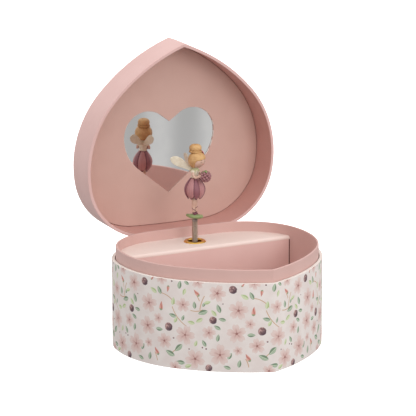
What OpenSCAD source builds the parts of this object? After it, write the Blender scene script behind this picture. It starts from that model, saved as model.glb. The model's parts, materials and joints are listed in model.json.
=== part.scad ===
// Wind-up musical jewellery box: a teardrop board case with a hinged lid, a lined tray,
// a clockwork movement under the deck and a turning doll on a bending spring.
// The origin is on the underside, at the middle of the body's length. +Z is up,
// the tray and its blunt tip face -Y, and the lid is hinged at +Y. The lid is drawn open.

/* [Body] */
// Width of the body
body_w = 155; // [140:1:190]
// Length of the body, from the front tip to the back
body_l = 145; // [135:1:178]
// Height of the outer wall
body_h = 65; // [62:1:90]
// Radius of the front tip
tip_r = 3.3; // [2.6:0.1:6]
// Radius of the two round back corners
lobe_r = 49; // [44:1:52]
// Thickness of the printed paper on the outside
wrap_t = 0.35; // [0.2:0.05:0.6]
// Thickness of the outer wall's board
wall_t = 2.05; // [1.5:0.05:3]
// Thickness of the bottom board
bottom_t = 2.5; // [1.5:0.1:4]
// Gap between the outer wall and the collar
collar_gap = 0.5; // [0.3:0.05:1]
// Thickness of the collar's board
collar_t = 1.5; // [1:0.1:2.5]
// How far the collar stands above the outer wall
collar_rise = 9.1; // [5:0.1:14]

/* [Tray and deck] */
// Thickness of the tray's floor lining
lining_t = 1.5; // [0.8:0.1:3]
// Depth of the deck's top below the collar's rim
deck_drop = 7.6; // [4:0.1:10]
// Thickness of the deck boards
deck_t = 2.4; // [1.2:0.1:3]
// Radius of the deck's front edge
deck_edge_r = 2.2; // [0.5:0.1:2.3]
// Distance from the spindle to the deck's front face
deck_reach = 17.5; // [15.5:0.1:20]
// Distance from the spindle to the body's back face
spindle_back = 19.5; // [19.5:0.1:22]
// Outer diameter of the gold eyelet
eyelet_d = 16.8; // [13:0.1:20]
// Hole through the eyelet
eyelet_hole_d = 10.4; // [7:0.1:11]

/* [Lid] */
// Height of the closed lid
lid_h = 27.6; // [24:0.1:36]
// Opening angle at the stop
lid_open = 88; // [80:0.5:95]
// Thickness of the lid's board wall
lid_wall_t = 2; // [1.5:0.05:2.1]
// Thickness of the lid's top board
lid_top_t = 2.1; // [1.5:0.1:2.4]
// Radius of the lid's top edge
lid_edge_r = 1.6; // [0.6:0.1:2]
// Thickness of the lining panel
panel_t = 0.8; // [0.5:0.1:1.2]
// Thickness of the mirror
mirror_t = 1.1; // [0.8:0.1:1.5]
// Width of the heart-shaped mirror opening
heart_w = 74.5; // [50:0.5:84]
// Height of the heart's lower point above the lid's back face
heart_tip = 26.5; // [18:0.5:36]

/* [Lid hinges] */
// Distance from the middle of the lid to each hinge
hinge_x = 23; // [18:1:26]
// Width of a hinge
hinge_w = 16; // [12:1:18]
// Distance from the body's back face to the hinge axis
hinge_back = 2.4; // [2.2:0.1:3]
// Diameter of the hinge pin
hinge_pin_d = 1.6; // [1.2:0.1:2]
// Thickness of a hinge leaf
leaf_t = 0.6; // [0.4:0.05:0.8]
// Height of a hinge leaf
leaf_h = 14; // [11:1:18]

/* [Movement] */
// Height of the winding key's axis
key_z = 21.7; // [21.7:0.1:24]
// Teeth on the spring barrel
barrel_teeth = 50; // [50:1:50]
// Teeth on the cylinder's pinion
pinion_teeth = 10; // [10:1:10]
// Radius of the spring barrel's drum
drum_r = 12; // [10:0.5:12]
// Diameter of the winding arbor
arbor_d = 3.2; // [2.6:0.1:3.6]
// Span of the winding key's wings
key_w = 24; // [18:1:30]
// Radius of the pinned cylinder
cylinder_r = 6.5; // [6:0.1:6.6]
// Number of teeth on the comb
notes = 18; // [12:1:20]
// Radius of the cylinder's arbor
spindle_r = 1; // [0.8:0.1:1.2]

/* [Spring and figure] */
// Outer diameter of the coil spring
spring_d = 4.3; // [3.8:0.1:5]
// Diameter of the spring's wire
wire_d = 0.6; // [0.5:0.1:0.7]
// Length of the post between the deck and the figure
post_h = 17; // [16:0.5:22]
// Height of the figure
figure_h = 57.5; // [48:0.5:58]
// Direction that the figure faces, turned from the front to the right
face_turn = 30; // [0:5:60]
// Width of the leaf under the figure's feet
leaf_base_d = 12.8; // [11:0.1:13]
// Widest diameter of the petal skirt
skirt_d = 17; // [14:0.5:18]
// Diameter of the head
head_d = 12.2; // [10:0.1:13]
// Length of a wing from its root
wing_l = 17.5; // [12:0.5:18]
// Diameter of the berry
berry_d = 9.2; // [7:0.1:10]
// Angle through which the spring folds the figure when the lid closes
fold = 103; // [95:1:108]

/* [Hidden] */

fit = 0.05;            // radial clearance of a shaft in its hole
slack = 0.3;           // gap between faces that move past each other
rest_gap = 0.1;        // gap left under the closed lid's rim
eps = 0.01;

// Plan outline. Each half is five arcs, each running into the next, and headings are the
// directions in which one arc ends and the next begins, turning from +X at the front tip.
headings = [0, 20, 48, 100, 178, 180];
outline_step = 4;      // degrees between points along a curved outline
function sine(i) = sin(headings[i]);
function cosine(i) = cos(headings[i]);
// The flank, side and back radii follow from the width and the length.
back_base = (body_w / 2 + lobe_r * (sine(4) - sine(3))) / sine(4);
back_share = (1 - sine(3)) / sine(4);
wide_flank = sine(2) - sine(1);
wide_side = 1 - sine(2);
wide_rest = body_w / 2 - tip_r * sine(1);
long_flank = cosine(1) - cosine(2);
long_side = cosine(2) - cosine(3) - back_share * (1 + cosine(4));
long_rest = body_l - tip_r * (1 - cosine(1)) - lobe_r * (cosine(3) - cosine(4)) - back_base * (1 + cosine(4));
mix = wide_flank * long_side - wide_side * long_flank;
flank_r = (wide_rest * long_side - wide_side * long_rest) / mix;
side_r = (wide_flank * long_rest - long_flank * wide_rest) / mix;
back_r = back_base - side_r * back_share;
arc_radii = [tip_r, flank_r, side_r, lobe_r, back_r];
function unit(a) = [sin(a), -cos(a)];
function arc_centre(i) = i == 0 ? [0, tip_r - body_l / 2]
    : arc_centre(i - 1) + (arc_radii[i - 1] - arc_radii[i]) * unit(headings[i]);
function tip_heading(inset) = inset < tip_r ? 0 : asin((flank_r - tip_r) * sine(1) / (flank_r - inset));
function edge_point(i, a, inset) = arc_centre(i) + (arc_radii[i] - inset) * unit(a);

function flip(p) = [-p[0], p[1]];

// Points along arc i between two headings, its start left out
function arc_points(i, from, to, inset) =
    let (n = ceil((to - from) / outline_step))
    [for (k = [1:n]) edge_point(i, from + (to - from) * k / n, inset)];

// Points round a circle between two angles
function round_points(c, r, from, to) =
    let (n = ceil((to - from) / outline_step))
    [for (k = [0:n]) c + r * [cos(from + (to - from) * k / n), sin(from + (to - from) * k / n)]];

// The teardrop outline, moved in from the outside by inset
module plan(inset = 0) {
    first = inset < tip_r ? 0 : 1;
    tip = [0, edge_point(first, tip_heading(inset), inset)[1]];
    right = [for (i = [first:4])
        each arc_points(i, i == first ? tip_heading(inset) : headings[i], headings[i + 1], inset)];
    left = [for (i = [len(right) - 2:-1:0]) flip(right[i])];
    polygon(concat([tip], right, left));
}

// A wall of height h between two insets
module ring_wall(outer, inner, h) {
    linear_extrude(height = h)
        difference() {
            plan(outer);
            plan(inner);
        }
}

// Insets of each layer from the outside
wall_out = wrap_t;
wall_in = wall_out + wall_t;
collar_out = wall_in + collar_gap;
collar_in = collar_out + collar_t;
floor_z = bottom_t + lining_t;
collar_top = body_h + collar_rise;
deck_z = collar_top - deck_drop;
back_y = body_l / 2;
post_y = back_y - spindle_back;
deck_y = post_y - deck_reach;
collar_back = back_y - collar_in;

module cut_round(r, z0, z1, y = post_y) {
    translate([0, y, z0]) cylinder(r = r, h = z1 - z0, $fn = 48);
}

// A hole along Y through the back wall
module back_hole(x, z, r) {
    translate([x, back_y + 1, z]) rotate([90, 0, 0]) cylinder(r = r, h = collar_in + 2, $fn = 32);
}

// Holes in the back of the case for the arbor, the mounting screws and the hinge rivets
screw_r = 1.1;
screw_spots = [[-22, 10], [22, 10], [0, 50]];
rivet_r = 1;
rivet_head_r = 2.2;
rivet_spots = [for (side = [-1, 1], dx = [-4.5, 4.5]) [side * hinge_x + dx, leaf_h * 0.6]];
arbor_hole_r = arbor_d / 2 + 0.9;
module movement_holes() {
    back_hole(0, key_z, arbor_hole_r);
    for (s = screw_spots) back_hole(s[0], s[1], screw_r);
}

module back_holes() {
    movement_holes();
    for (s = rivet_spots) back_hole(s[0], body_h - s[1], rivet_r);
}

// ---- Case ----

module floral_wrap() {
    color("#dcccc9")
    difference() {
        union() {
            ring_wall(0, wrap_t, body_h);
            translate([0, 0, body_h - wrap_t]) ring_wall(0, wall_in, wrap_t);
        }
        back_holes();
    }
}

module case_wall() {
    color("#b9a58c")
    difference() {
        ring_wall(wall_out, wall_in, body_h - wrap_t);
        back_holes();
    }
}

module bottom_board() {
    color("#c9b49a") linear_extrude(height = bottom_t) plan(wall_in);
}

module collar() {
    color("#c8968c")
    translate([0, 0, bottom_t])
        difference() {
            ring_wall(collar_out, collar_in, collar_top - bottom_t);
            translate([0, 0, -bottom_t]) movement_holes();
        }
}

module tray_lining() {
    color("#b98078") translate([0, 0, bottom_t]) linear_extrude(height = lining_t) plan(collar_in);
}

// Everything behind the deck's front face
module behind(y, z0, z1) {
    translate([-body_w, y, z0]) cube([2 * body_w, body_l, z1 - z0]);
}

module deck_top() {
    color("#d9beb5")
    difference() {
        intersection() {
            translate([0, 0, deck_z - deck_t]) linear_extrude(height = deck_t) plan(collar_in);
            union() {
                behind(deck_y + deck_edge_r, deck_z - deck_t, deck_z);
                behind(deck_y, deck_z - deck_t, deck_z - deck_edge_r);
                translate([0, deck_y + deck_edge_r, deck_z - deck_edge_r])
                    rotate([0, 90, 0]) cylinder(r = deck_edge_r, h = 2 * body_w, center = true, $fn = 48);
            }
        }
        cut_round(eyelet_tube_r, deck_z - deck_t - 1, deck_z + 1);
    }
}

module deck_front() {
    color("#cca49a")
    intersection() {
        translate([0, 0, floor_z]) linear_extrude(height = deck_z - deck_t - floor_z) plan(collar_in);
        translate([-body_w, deck_y, floor_z]) cube([2 * body_w, deck_t, deck_z]);
    }
}

// Gold eyelet: a domed flange on the deck and a tube through it
eyelet_r = eyelet_d / 2;
eyelet_hole_r = eyelet_hole_d / 2;
eyelet_wall = 0.4;
eyelet_tube_r = eyelet_hole_r + eyelet_wall;
dome_h = 1.1;
module eyelet() {
    mid = (eyelet_r + eyelet_hole_r) / 2;
    half = (eyelet_r - eyelet_hole_r) / 2;
    color("#dfb96e")
    translate([0, post_y, deck_z])
        rotate_extrude($fn = 72) {
            intersection() {
                translate([mid, dome_h - half]) circle(half, $fn = 48);
                translate([0, 0]) square([eyelet_r + 1, dome_h + 1]);
            }
            translate([eyelet_hole_r, -deck_t - 1]) square([eyelet_wall, deck_t + 1.2]);
        }
}

module eyelet_washer() {
    color("#b99a55")
    translate([0, post_y, deck_z - deck_t - 0.6])
        difference() {
            cylinder(r = eyelet_r - 1, h = 0.6, $fn = 48);
            translate([0, 0, -1]) cylinder(r = eyelet_tube_r, h = 3, $fn = 48);
        }
}

// ---- Lid ----

hinge_y = back_y + hinge_back;
// Places what is drawn closed at the opening angle, turned about the hinge axis
module opened() {
    translate([0, hinge_y, body_h])
        rotate([-lid_open, 0, 0])
            translate([0, -hinge_y, -body_h])
                children();
}

lid_inset = 0.15;
lid_rim = body_h + rest_gap;
lid_top = body_h + lid_h;
lid_wall_out = lid_inset + wrap_t;
lid_wall_in = lid_wall_out + lid_wall_t;
panel_inset = lid_wall_in + slack;
top_board_z = lid_top - wrap_t - lid_top_t;
top_board_inset = lid_wall_out + lid_edge_r / 3;
mirror_z = top_board_z - mirror_t - fit;
panel_z = mirror_z - fit - panel_t;

lid_rivet_l = leaf_t + lid_wall_in - 0.5;
module lid_holes() {
    for (s = rivet_spots)
        translate([s[0], back_y + leaf_t, body_h + s[1]])
            rotate([90, 0, 0]) cylinder(r = rivet_r, h = lid_rivet_l, $fn = 32);
}

// Pink covering paper over the lid's wall and top, with rounded edges
module lid_wrap() {
    steps = 5;
    color("#e0c0ba")
    opened() difference() {
        union() {
            translate([0, 0, lid_rim]) linear_extrude(height = lid_top - lid_edge_r - lid_rim) plan(lid_inset);
            for (i = [0:steps - 1]) {
                a = 90 * i / steps;
                b = 90 * (i + 1) / steps;
                translate([0, 0, lid_top - lid_edge_r * (1 - sin(a)) - eps])
                    linear_extrude(height = lid_edge_r * (sin(b) - sin(a)) + eps)
                        plan(lid_inset + lid_edge_r * (1 - cos((a + b) / 2)));
            }
        }
        translate([0, 0, top_board_z]) linear_extrude(height = lid_top_t) plan(top_board_inset);
        translate([0, 0, lid_rim + wrap_t]) linear_extrude(height = top_board_z - lid_rim - wrap_t) plan(lid_wall_out);
        translate([0, 0, lid_rim - 1]) linear_extrude(height = 3) plan(lid_wall_in);
        lid_holes();
    }
}

module lid_wall() {
    color("#c79288")
    opened() difference() {
        translate([0, 0, lid_rim + wrap_t])
            ring_wall(lid_wall_out, lid_wall_in, top_board_z - lid_rim - wrap_t);
        lid_holes();
    }
}

module lid_top_board() {
    color("#b9a58c")
    opened() translate([0, 0, top_board_z]) linear_extrude(height = lid_top_t) plan(top_board_inset);
}

// Heart of width w with its point at the origin and its lobes towards +Y. Each side runs straight
// up from the point, then along a broad arc, then round a small lobe and down to the cleft.
module heart(w) {
    lobe = w / 4;
    broad = w * 0.437;
    wide_y = w * 0.612;
    cleft_y = w * 0.74;
    lobe_end = 125;
    centre = [w / 2 - broad, wide_y];
    far = norm(centre);
    lean = atan2(centre[0], centre[1]) + asin(broad / far);
    flank = round_points(centre, broad, -lean, 0);
    top = round_points([w / 2 - lobe, wide_y], lobe, 0, lobe_end);
    side = concat(flank, [for (k = [1:len(top) - 1]) top[k]]);
    polygon(concat([[0, 0]], side, [[0, cleft_y]], [for (i = [len(side) - 1:-1:0]) flip(side[i])]));
}

module heart_hole(w, lower) {
    translate([0, back_y - lower]) rotate(180) heart(w);
}

module lid_lining() {
    color("#caa096")
    opened() translate([0, 0, panel_z])
        linear_extrude(height = panel_t)
            difference() {
                plan(panel_inset);
                heart_hole(heart_w, heart_tip);
            }
}

mirror_edge = 4;      // how far the glass reaches behind the lining
mirror_play = 0.6;    // room round the glass in its spacer
module mirror_glass() {
    color("#c3c9cb")
    opened() translate([0, 0, mirror_z])
        linear_extrude(height = mirror_t) heart_hole(heart_w + 2 * mirror_edge, heart_tip - 1.5 * mirror_edge);
}

module mirror_spacer() {
    color("#b9a58c")
    opened() translate([0, 0, mirror_z])
        linear_extrude(height = mirror_t)
            difference() {
                plan(panel_inset + 1);
                heart_hole(heart_w + 2 * mirror_edge + 3 * mirror_play, heart_tip - 1.5 * mirror_edge - mirror_play);
            }
}

// ---- Hinges ----

knuckle_r = hinge_back - leaf_t - 0.1;
middle_w = hinge_w / 2 - 0.2;
pin_r = hinge_pin_d / 2;

module at_hinges() {
    for (side = [-1, 1])
        translate([side * hinge_x, hinge_y, body_h]) children();
}

// Leaf plate above the axis, with its rivet holes
module leaf_plate(up) {
    difference() {
        translate([-hinge_w / 2, -hinge_back, up > 0 ? 0.4 : -leaf_h]) cube([hinge_w, leaf_t, leaf_h - 0.4]);
        for (dx = [-4.5, 4.5])
            translate([dx, 1, up * leaf_h * 0.6]) rotate([90, 0, 0]) cylinder(r = rivet_r, h = 6, $fn = 32);
    }
}

// A knuckle from x0 to x1, with its web to the leaf
module knuckle(x0, x1, up, bore_r) {
    difference() {
        union() {
            translate([x0, 0, 0]) rotate([0, 90, 0]) cylinder(r = knuckle_r, h = x1 - x0, $fn = 48);
            translate([x0, -hinge_back, up > 0 ? 0 : -knuckle_r]) cube([x1 - x0, hinge_back, knuckle_r]);
        }
        translate([x0 - 1, 0, 0]) rotate([0, 90, 0]) cylinder(r = bore_r, h = x1 - x0 + 2, $fn = 48);
    }
}

stop_h = 1.6;
module hinge_body_leaves() {
    lift = hinge_back - leaf_t;
    tongue_l = leaf_h * 0.6 - rivet_head_r - slack;
    color("#c9a35c")
    at_hinges() {
        leaf_plate(-1);
        for (side = [-1, 1]) {
            x0 = side > 0 ? middle_w / 2 + 0.2 : -hinge_w / 2;
            knuckle(x0, x0 + hinge_w / 2 - middle_w / 2 - 0.2, -1, pin_r);
            // Stop tongue under the open lid's leaf
            difference() {
                translate([x0, 0, lift - stop_h - fit]) cube([hinge_w / 2 - middle_w / 2 - 0.2, tongue_l, stop_h]);
                translate([x0 - 1, 0, 0]) rotate([0, 90, 0]) cylinder(r = pin_r, h = hinge_w, $fn = 48);
            }
        }
    }
}

module hinge_lid_leaves() {
    color("#c9a35c")
    opened() at_hinges() {
        difference() {
            leaf_plate(1);
            for (side = [-1, 1])
                translate([side > 0 ? middle_w / 2 : -hinge_w / 2 - 1, -hinge_back - 1, -1])
                    cube([hinge_w / 2 - middle_w / 2 + 1, hinge_back + 2, 3]);
        }
        knuckle(-middle_w / 2, middle_w / 2, 1, pin_r + fit);
    }
}

module hinge_pins() {
    color("#b08a45")
    at_hinges()
        rotate([0, 90, 0]) cylinder(r = pin_r, h = hinge_w + 0.8, center = true, $fn = 32);
}

// A rivet along -Y: domed head at the leaf, tail inside the wall of thickness t
module rivet(t) {
    rotate([90, 0, 0]) cylinder(r = rivet_r, h = t, $fn = 32);
    rotate([-90, 0, 0]) intersection() {
        translate([0, 0, -1.2]) sphere(r = 2.3, $fn = 32);
        cylinder(r = rivet_head_r, h = 2, $fn = 32);
    }
}

module hinge_rivets() {
    color("#b08a45")
    for (s = rivet_spots)
        translate([s[0], hinge_y - hinge_back + leaf_t, body_h - s[1]]) rivet(leaf_t + collar_out);
}

module lid_rivets() {
    color("#b08a45")
    opened() for (s = rivet_spots)
        translate([s[0], hinge_y - hinge_back + leaf_t, body_h + s[1]]) rivet(lid_rivet_l);
}

// ---- Movement ----

// Gear outline with n teeth between a root radius and a tip radius
function gear_points(n, root, tip, w_root, w_tip) = [
    for (i = [0:n - 1], k = [0:3])
        let (a = 360 * i / n, r = k == 0 || k == 3 ? root : tip, w = k == 0 || k == 3 ? w_root : w_tip,
             s = k < 2 ? -1 : 1, b = a + s * asin(w / 2 / r)) r * [sin(b), cos(b)]
];

plate_t = 1.5;
plate_y = collar_back - 7.1;
plate_h = 62;
plate_w = 52;
module bedplate() {
    color("#b9b9b4")
    difference() {
        translate([-plate_w / 2, plate_y, floor_z + 0.5]) cube([plate_w, plate_t, plate_h - floor_z - 0.5]);
        translate([0, plate_y + plate_t + 1, key_z]) rotate([90, 0, 0])
            cylinder(r = arbor_d / 2 + fit, h = plate_t + 2, $fn = 48);
        for (s = screw_spots)
            translate([s[0], plate_y + plate_t + 1, s[1]]) rotate([90, 0, 0])
                cylinder(r = screw_r, h = plate_t + 2, $fn = 32);
    }
}

// How far back the collar's inner face reaches at a distance x from the middle
back_corner = edge_point(4, headings[4], collar_in);
function collar_face(x) = collar_back - (collar_back - back_corner[1]) * x / back_corner[0];

standoff_r = 2.5;
module standoffs() {
    color("#c8b060")
    for (s = screw_spots) {
        end_y = collar_face(abs(s[0]) + standoff_r);
        translate([s[0], end_y, s[1]]) rotate([90, 0, 0])
            difference() {
                cylinder(r = standoff_r, h = end_y - plate_y - plate_t, $fn = 32);
                translate([0, 0, -1]) cylinder(r = screw_r, h = 12, $fn = 32);
            }
    }
}

// Pan-head screws from outside, through the wall and standoffs into the bedplate
module mounting_screws() {
    head_t = 1.2;
    color("#c6c6c2")
    for (s = screw_spots)
        translate([s[0], back_y + 0.05, s[1]]) {
            rotate([90, 0, 0]) cylinder(r = screw_r, h = back_y - plate_y + 0.5, $fn = 32);
            difference() {
                rotate([-90, 0, 0]) cylinder(r = 2.2, h = head_t, $fn = 32);
                for (a = [0, 90])
                    rotate([0, a, 0]) translate([-1.4, head_t - 0.6, -0.25]) cube([2.8, 1, 0.5]);
            }
        }
}

// Heights of the upright cylinder's parts
wheel_pitch = 15;
pinion_z = key_z + wheel_pitch - 1.5;
pinion_h = 3;
lower_arm_z = pinion_z + pinion_h + 0.2;
arm_t = 0.9;
cyl_z = lower_arm_z + arm_t + 0.2;
cyl_h = 16.5;
gear_z = cyl_z + cyl_h + 0.5;
gear_t = 1.2;
gov_z = gear_z + gear_t + 0.6;
upper_arm_z = gov_z + 2.8;
gov_x = -8.8;
gear_teeth = 36;
gov_teeth = 8;
worm_teeth = 20;
gear_pitch_r = -gov_x * gear_teeth / (gear_teeth + gov_teeth);
gov_pitch_r = -gov_x - gear_pitch_r;
worm_gap = 6.3;
worm_x = gov_x - worm_gap;
worm_z = gov_z + gear_t / 2;
worm_wheel_r = 5;
worm_pitch = 2 * PI * worm_wheel_r / worm_teeth;

module arm(x0, x1, y0, z) {
    translate([x0, y0, z]) cube([x1 - x0, plate_y - y0, arm_t]);
}

module upright_hole(x, z, r) {
    translate([x, post_y, z - 1]) cylinder(r = r, h = arm_t + 2, $fn = 32);
}

gov_arbor_r = 0.6;
module bearing_brackets() {
    color("#b3b3ad") {
        difference() {
            arm(-4, 4, post_y - 3.5, lower_arm_z);
            upright_hole(0, lower_arm_z, spindle_r + fit);
        }
        difference() {
            arm(-19, 4, post_y - 10, upper_arm_z);
            upright_hole(0, upper_arm_z, spindle_r + fit);
            upright_hole(gov_x, upper_arm_z, gov_arbor_r + fit);
        }
    }
}

gov_arm_z = gear_z - 2.2;
worm_front = post_y - 9;
worm_rear = post_y + 5.5;
brake_r = 0.5;
module governor_frame() {
    color("#b3b3ad") {
        difference() {
            arm(-19, -7.7, post_y - 3, gov_arm_z);
            upright_hole(gov_x, gov_arm_z, gov_arbor_r + fit);
        }
        for (y = [worm_front, worm_rear])
            difference() {
                translate([worm_x - 1.7, y, worm_z - 2]) cube([3.4, 1, upper_arm_z - worm_z + 2]);
                translate([worm_x, y - 1, worm_z]) rotate([-90, 0, 0])
                    cylinder(r = brake_r + fit, h = 3, $fn = 32);
            }
    }
}

// Winding arbor through the barrel, the bedplate and the back wall
arbor_front = post_y - 12.5;
key_y = back_y + 3;
module winding_arbor() {
    color("#a8a8a4")
    translate([0, arbor_front, key_z]) rotate([-90, 0, 0])
        cylinder(r = arbor_d / 2, h = key_y + 6 - arbor_front, $fn = 48);
}

module winding_key() {
    boss_r = 3;
    boss_l = 10;
    wing_h = 13;
    color("#c9a35c")
    translate([0, key_y, key_z])
        difference() {
            union() {
                rotate([-90, 0, 0]) cylinder(r = boss_r, h = boss_l, $fn = 48);
                translate([0, boss_l - 1, 0]) rotate([-90, 0, 0]) linear_extrude(height = 2)
                    difference() {
                        union() {
                            for (side = [-1, 1])
                                translate([side * (key_w - wing_h) / 2, 0]) circle(wing_h / 2, $fn = 48);
                            square([key_w - wing_h, wing_h * 0.7], center = true);
                        }
                        for (side = [-1, 1])
                            translate([side * (key_w - wing_h) / 2, 0]) circle(wing_h / 5, $fn = 32);
                    }
            }
            translate([0, -1, 0]) rotate([-90, 0, 0]) cylinder(r = arbor_d / 2, h = 7, $fn = 48);
        }
}

module key_escutcheon() {
    color("#c9a35c")
    translate([0, back_y + 0.02, key_z]) rotate([-90, 0, 0])
        difference() {
            cylinder(r = 6.5, h = 0.7, $fn = 48);
            translate([0, 0, -1]) cylinder(r = arbor_hole_r, h = 3, $fn = 48);
            for (a = [45, 225])
                rotate([0, 0, a]) translate([4.9, 0, -1]) cylinder(r = 0.5, h = 3, $fn = 24);
        }
}

ratchet_y = plate_y - 1.8;
ratchet_t = 1.2;
ratchet_r = 6;
ratchet_teeth = 16;
module ratchet_wheel() {
    points = [for (i = [0:ratchet_teeth - 1], k = [0, 1])
        (k == 0 ? ratchet_r - 0.9 : ratchet_r) * [sin((i + k * 0.9) * 360 / ratchet_teeth), cos((i + k * 0.9) * 360 / ratchet_teeth)]];
    color("#c8b060")
    translate([0, ratchet_y, key_z]) rotate([-90, 0, 0])
        linear_extrude(height = ratchet_t)
            difference() {
                polygon(points);
                circle(arbor_d / 2, $fn = 48);
            }
}

// Thin leaf spring whose end rides on the ratchet's teeth
module click_spring() {
    start = ratchet_r + 0.15;
    color("#9a9a98")
    translate([0, ratchet_y, key_z]) {
        translate([start, 0.2, -1]) cube([8, 0.8, 0.35]);
        translate([start + 8, 0.2, -3]) cube([3, 1.6, 6]);
    }
}

// Spring barrel: a drum and a flange with face teeth that drive the pinion
flange_y = post_y + 4;
flange_t = 1.5;
crown_h = 1.6;
module spring_barrel() {
    rim = wheel_pitch + 1.5;
    color("#c8b060")
    translate([0, flange_y, key_z]) rotate([90, 0, 0])
        difference() {
            union() {
                translate([0, 0, -flange_t]) cylinder(r = rim, h = flange_t, $fn = 96);
                cylinder(r = drum_r, h = 15, $fn = 96);
                for (i = [0:barrel_teeth - 1])
                    rotate([0, 0, (i + 0.5) * 360 / barrel_teeth])
                        translate([-0.325, wheel_pitch - 1.45, -eps]) cube([0.65, 2.9, crown_h]);
            }
            translate([0, 0, 0.8]) cylinder(r = drum_r - 0.8, h = 20, $fn = 96);
            translate([0, 0, -3]) cylinder(r = arbor_d / 2 + fit, h = 30, $fn = 48);
        }
}

module barrel_cover() {
    color("#d0bc74")
    translate([0, flange_y - 15, key_z]) rotate([90, 0, 0])
        difference() {
            translate([0, 0, -1]) cylinder(r = drum_r - 0.8, h = 1, $fn = 96);
            translate([0, 0, -3]) cylinder(r = arbor_d / 2 + fit, h = 5, $fn = 48);
        }
}

// Mainspring: a strip wound in a spiral inside the drum
module mainspring() {
    turns = 8;
    strip_t = 0.35;
    r0 = arbor_d / 2 + 1;
    r1 = drum_r - 1.6;
    per_turn = 20;
    last = turns * per_turn;
    function spiral(i, out) = (r0 + (r1 - r0) * i / last + out) * [cos(i * 360 / per_turn), sin(i * 360 / per_turn)];
    color("#8f8f8c")
    translate([0, flange_y - 1.4, key_z]) rotate([90, 0, 0])
        linear_extrude(height = 12)
            polygon(concat([for (i = [0:last]) spiral(i, 0)], [for (i = [last:-1:0]) spiral(i, strip_t)]));
}

module pinned_cylinder() {
    color("#c8b060")
    difference() {
        cut_round(cylinder_r, cyl_z, cyl_z + cyl_h);
        cut_round(spindle_r, cyl_z - 1, cyl_z + cyl_h + 1);
    }
}

note_pitch = (cyl_h - 1.6) / (notes - 1);
pin_out = 0.45;
module tune_pins() {
    per_note = 5;
    color("#9a9a98")
    for (row = [0:notes - 1], k = [0:per_note - 1])
        translate([0, post_y, cyl_z + 0.8 + row * note_pitch])
            rotate([0, 0, 23 + (row * 47 + k * (61 + 7 * (row % 3))) % 314])
                translate([cylinder_r - 0.3, 0, 0]) rotate([0, 90, 0])
                    cylinder(r = 0.2, h = pin_out + 0.3, $fn = 16);
}

// Upright arbor, from the pinion to the plug that holds the coil spring
spindle_top = deck_z - deck_t - 1;
plug_r = spring_d / 2 - wire_d - 0.05;
module spindle() {
    color("#a8a8a4")
    translate([0, post_y, 0]) rotate_extrude($fn = 48)
        polygon([[0, pinion_z - 0.5], [spindle_r, pinion_z - 0.5], [spindle_r, upper_arm_z + arm_t + 0.2],
            [plug_r + 0.5, upper_arm_z + arm_t + 0.2], [plug_r + 0.5, spring_z0], [plug_r, spring_z0],
            [plug_r, spring_z0 + 3], [0, spring_z0 + 3]]);
}

module drive_pinion() {
    color("#c8b060")
    translate([0, post_y, pinion_z]) linear_extrude(height = pinion_h)
        difference() {
            polygon(gear_points(pinion_teeth, 2.1, 3.7, 0.75, 0.35));
            circle(spindle_r, $fn = 48);
        }
}

module cylinder_gear() {
    color("#c8b060")
    translate([0, post_y, gear_z]) linear_extrude(height = gear_t)
        difference() {
            rotate(-90) polygon(gear_points(gear_teeth, gear_pitch_r - 0.5, gear_pitch_r + 0.35, 0.5, 0.3));
            circle(spindle_r, $fn = 48);
        }
}

module governor_wheel() {
    color("#c8b060")
    translate([gov_x, post_y, 0]) {
        translate([0, 0, gov_arm_z - 0.5]) cylinder(r = gov_arbor_r, h = upper_arm_z + arm_t + 0.3 - gov_arm_z, $fn = 32);
        translate([0, 0, gear_z]) linear_extrude(height = gear_t)
            rotate(90 + 180 / gov_teeth)
                polygon(gear_points(gov_teeth, gov_pitch_r - 0.45, gov_pitch_r + 0.35, 0.45, 0.3));
        translate([0, 0, gov_z]) linear_extrude(height = gear_t)
            rotate(90) polygon(gear_points(worm_teeth, 4.35, 5.05, 0.5, 0.3));
    }
}

// Worm: an off-centre circle swept round its axis, so that it rises by one wheel tooth a turn
module worm_shaft() {
    turns = 5;
    color("#a8a8a4")
    translate([worm_x, worm_front - 0.5, worm_z]) {
        rotate([-90, 0, 0]) cylinder(r = brake_r, h = worm_rear - worm_front + 2, $fn = 32);
        translate([0, post_y - worm_front + 0.5 - turns * worm_pitch / 2, 0])
            rotate([-90, 0, 0])
                linear_extrude(height = turns * worm_pitch, twist = -360 * turns, slices = 12 * turns)
                    translate([0.5, 0]) rotate(180 * turns) circle(1.2, $fn = 14);
    }
}

module air_brake() {
    color("#c8b060")
    translate([worm_x, worm_front + 1.4, worm_z]) rotate([-90, 0, 0])
        difference() {
            linear_extrude(height = 2.4) {
                square([6.4, 0.5], center = true);
                circle(1.1, $fn = 32);
            }
            translate([0, 0, -1]) cylinder(r = brake_r, h = 5, $fn = 32);
        }
}

comb_x0 = cylinder_r + pin_out + 0.2;
comb_x1 = comb_x0 + 13;
comb_t = 0.8;
module comb() {
    tooth_l = 8;
    color("#a8a8a4")
    difference() {
        translate([comb_x0, post_y - comb_t / 2, cyl_z + 0.8 - note_pitch / 2])
            cube([comb_x1 - comb_x0, comb_t, notes * note_pitch]);
        for (i = [1:notes - 1])
            translate([comb_x0 - 1, post_y - 1, cyl_z + 0.8 + (i - 0.5) * note_pitch - 0.12])
                cube([tooth_l + 1 - i * 0.2, 2, 0.24]);
        for (dz = [4, 12])
            translate([comb_x1 - 2.2, post_y + 1, cyl_z + dz]) rotate([90, 0, 0])
                cylinder(r = 0.8, h = 3, $fn = 32);
    }
}

module comb_base() {
    color("#b9b9b4")
    difference() {
        translate([comb_x1 - 4.2, post_y + comb_t / 2, cyl_z]) cube([4.2, plate_y - post_y - comb_t / 2, cyl_h]);
        for (dz = [4, 12])
            translate([comb_x1 - 2.2, post_y + 5, cyl_z + dz]) rotate([90, 0, 0])
                cylinder(r = 0.8, h = 6, $fn = 32);
    }
}

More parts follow.
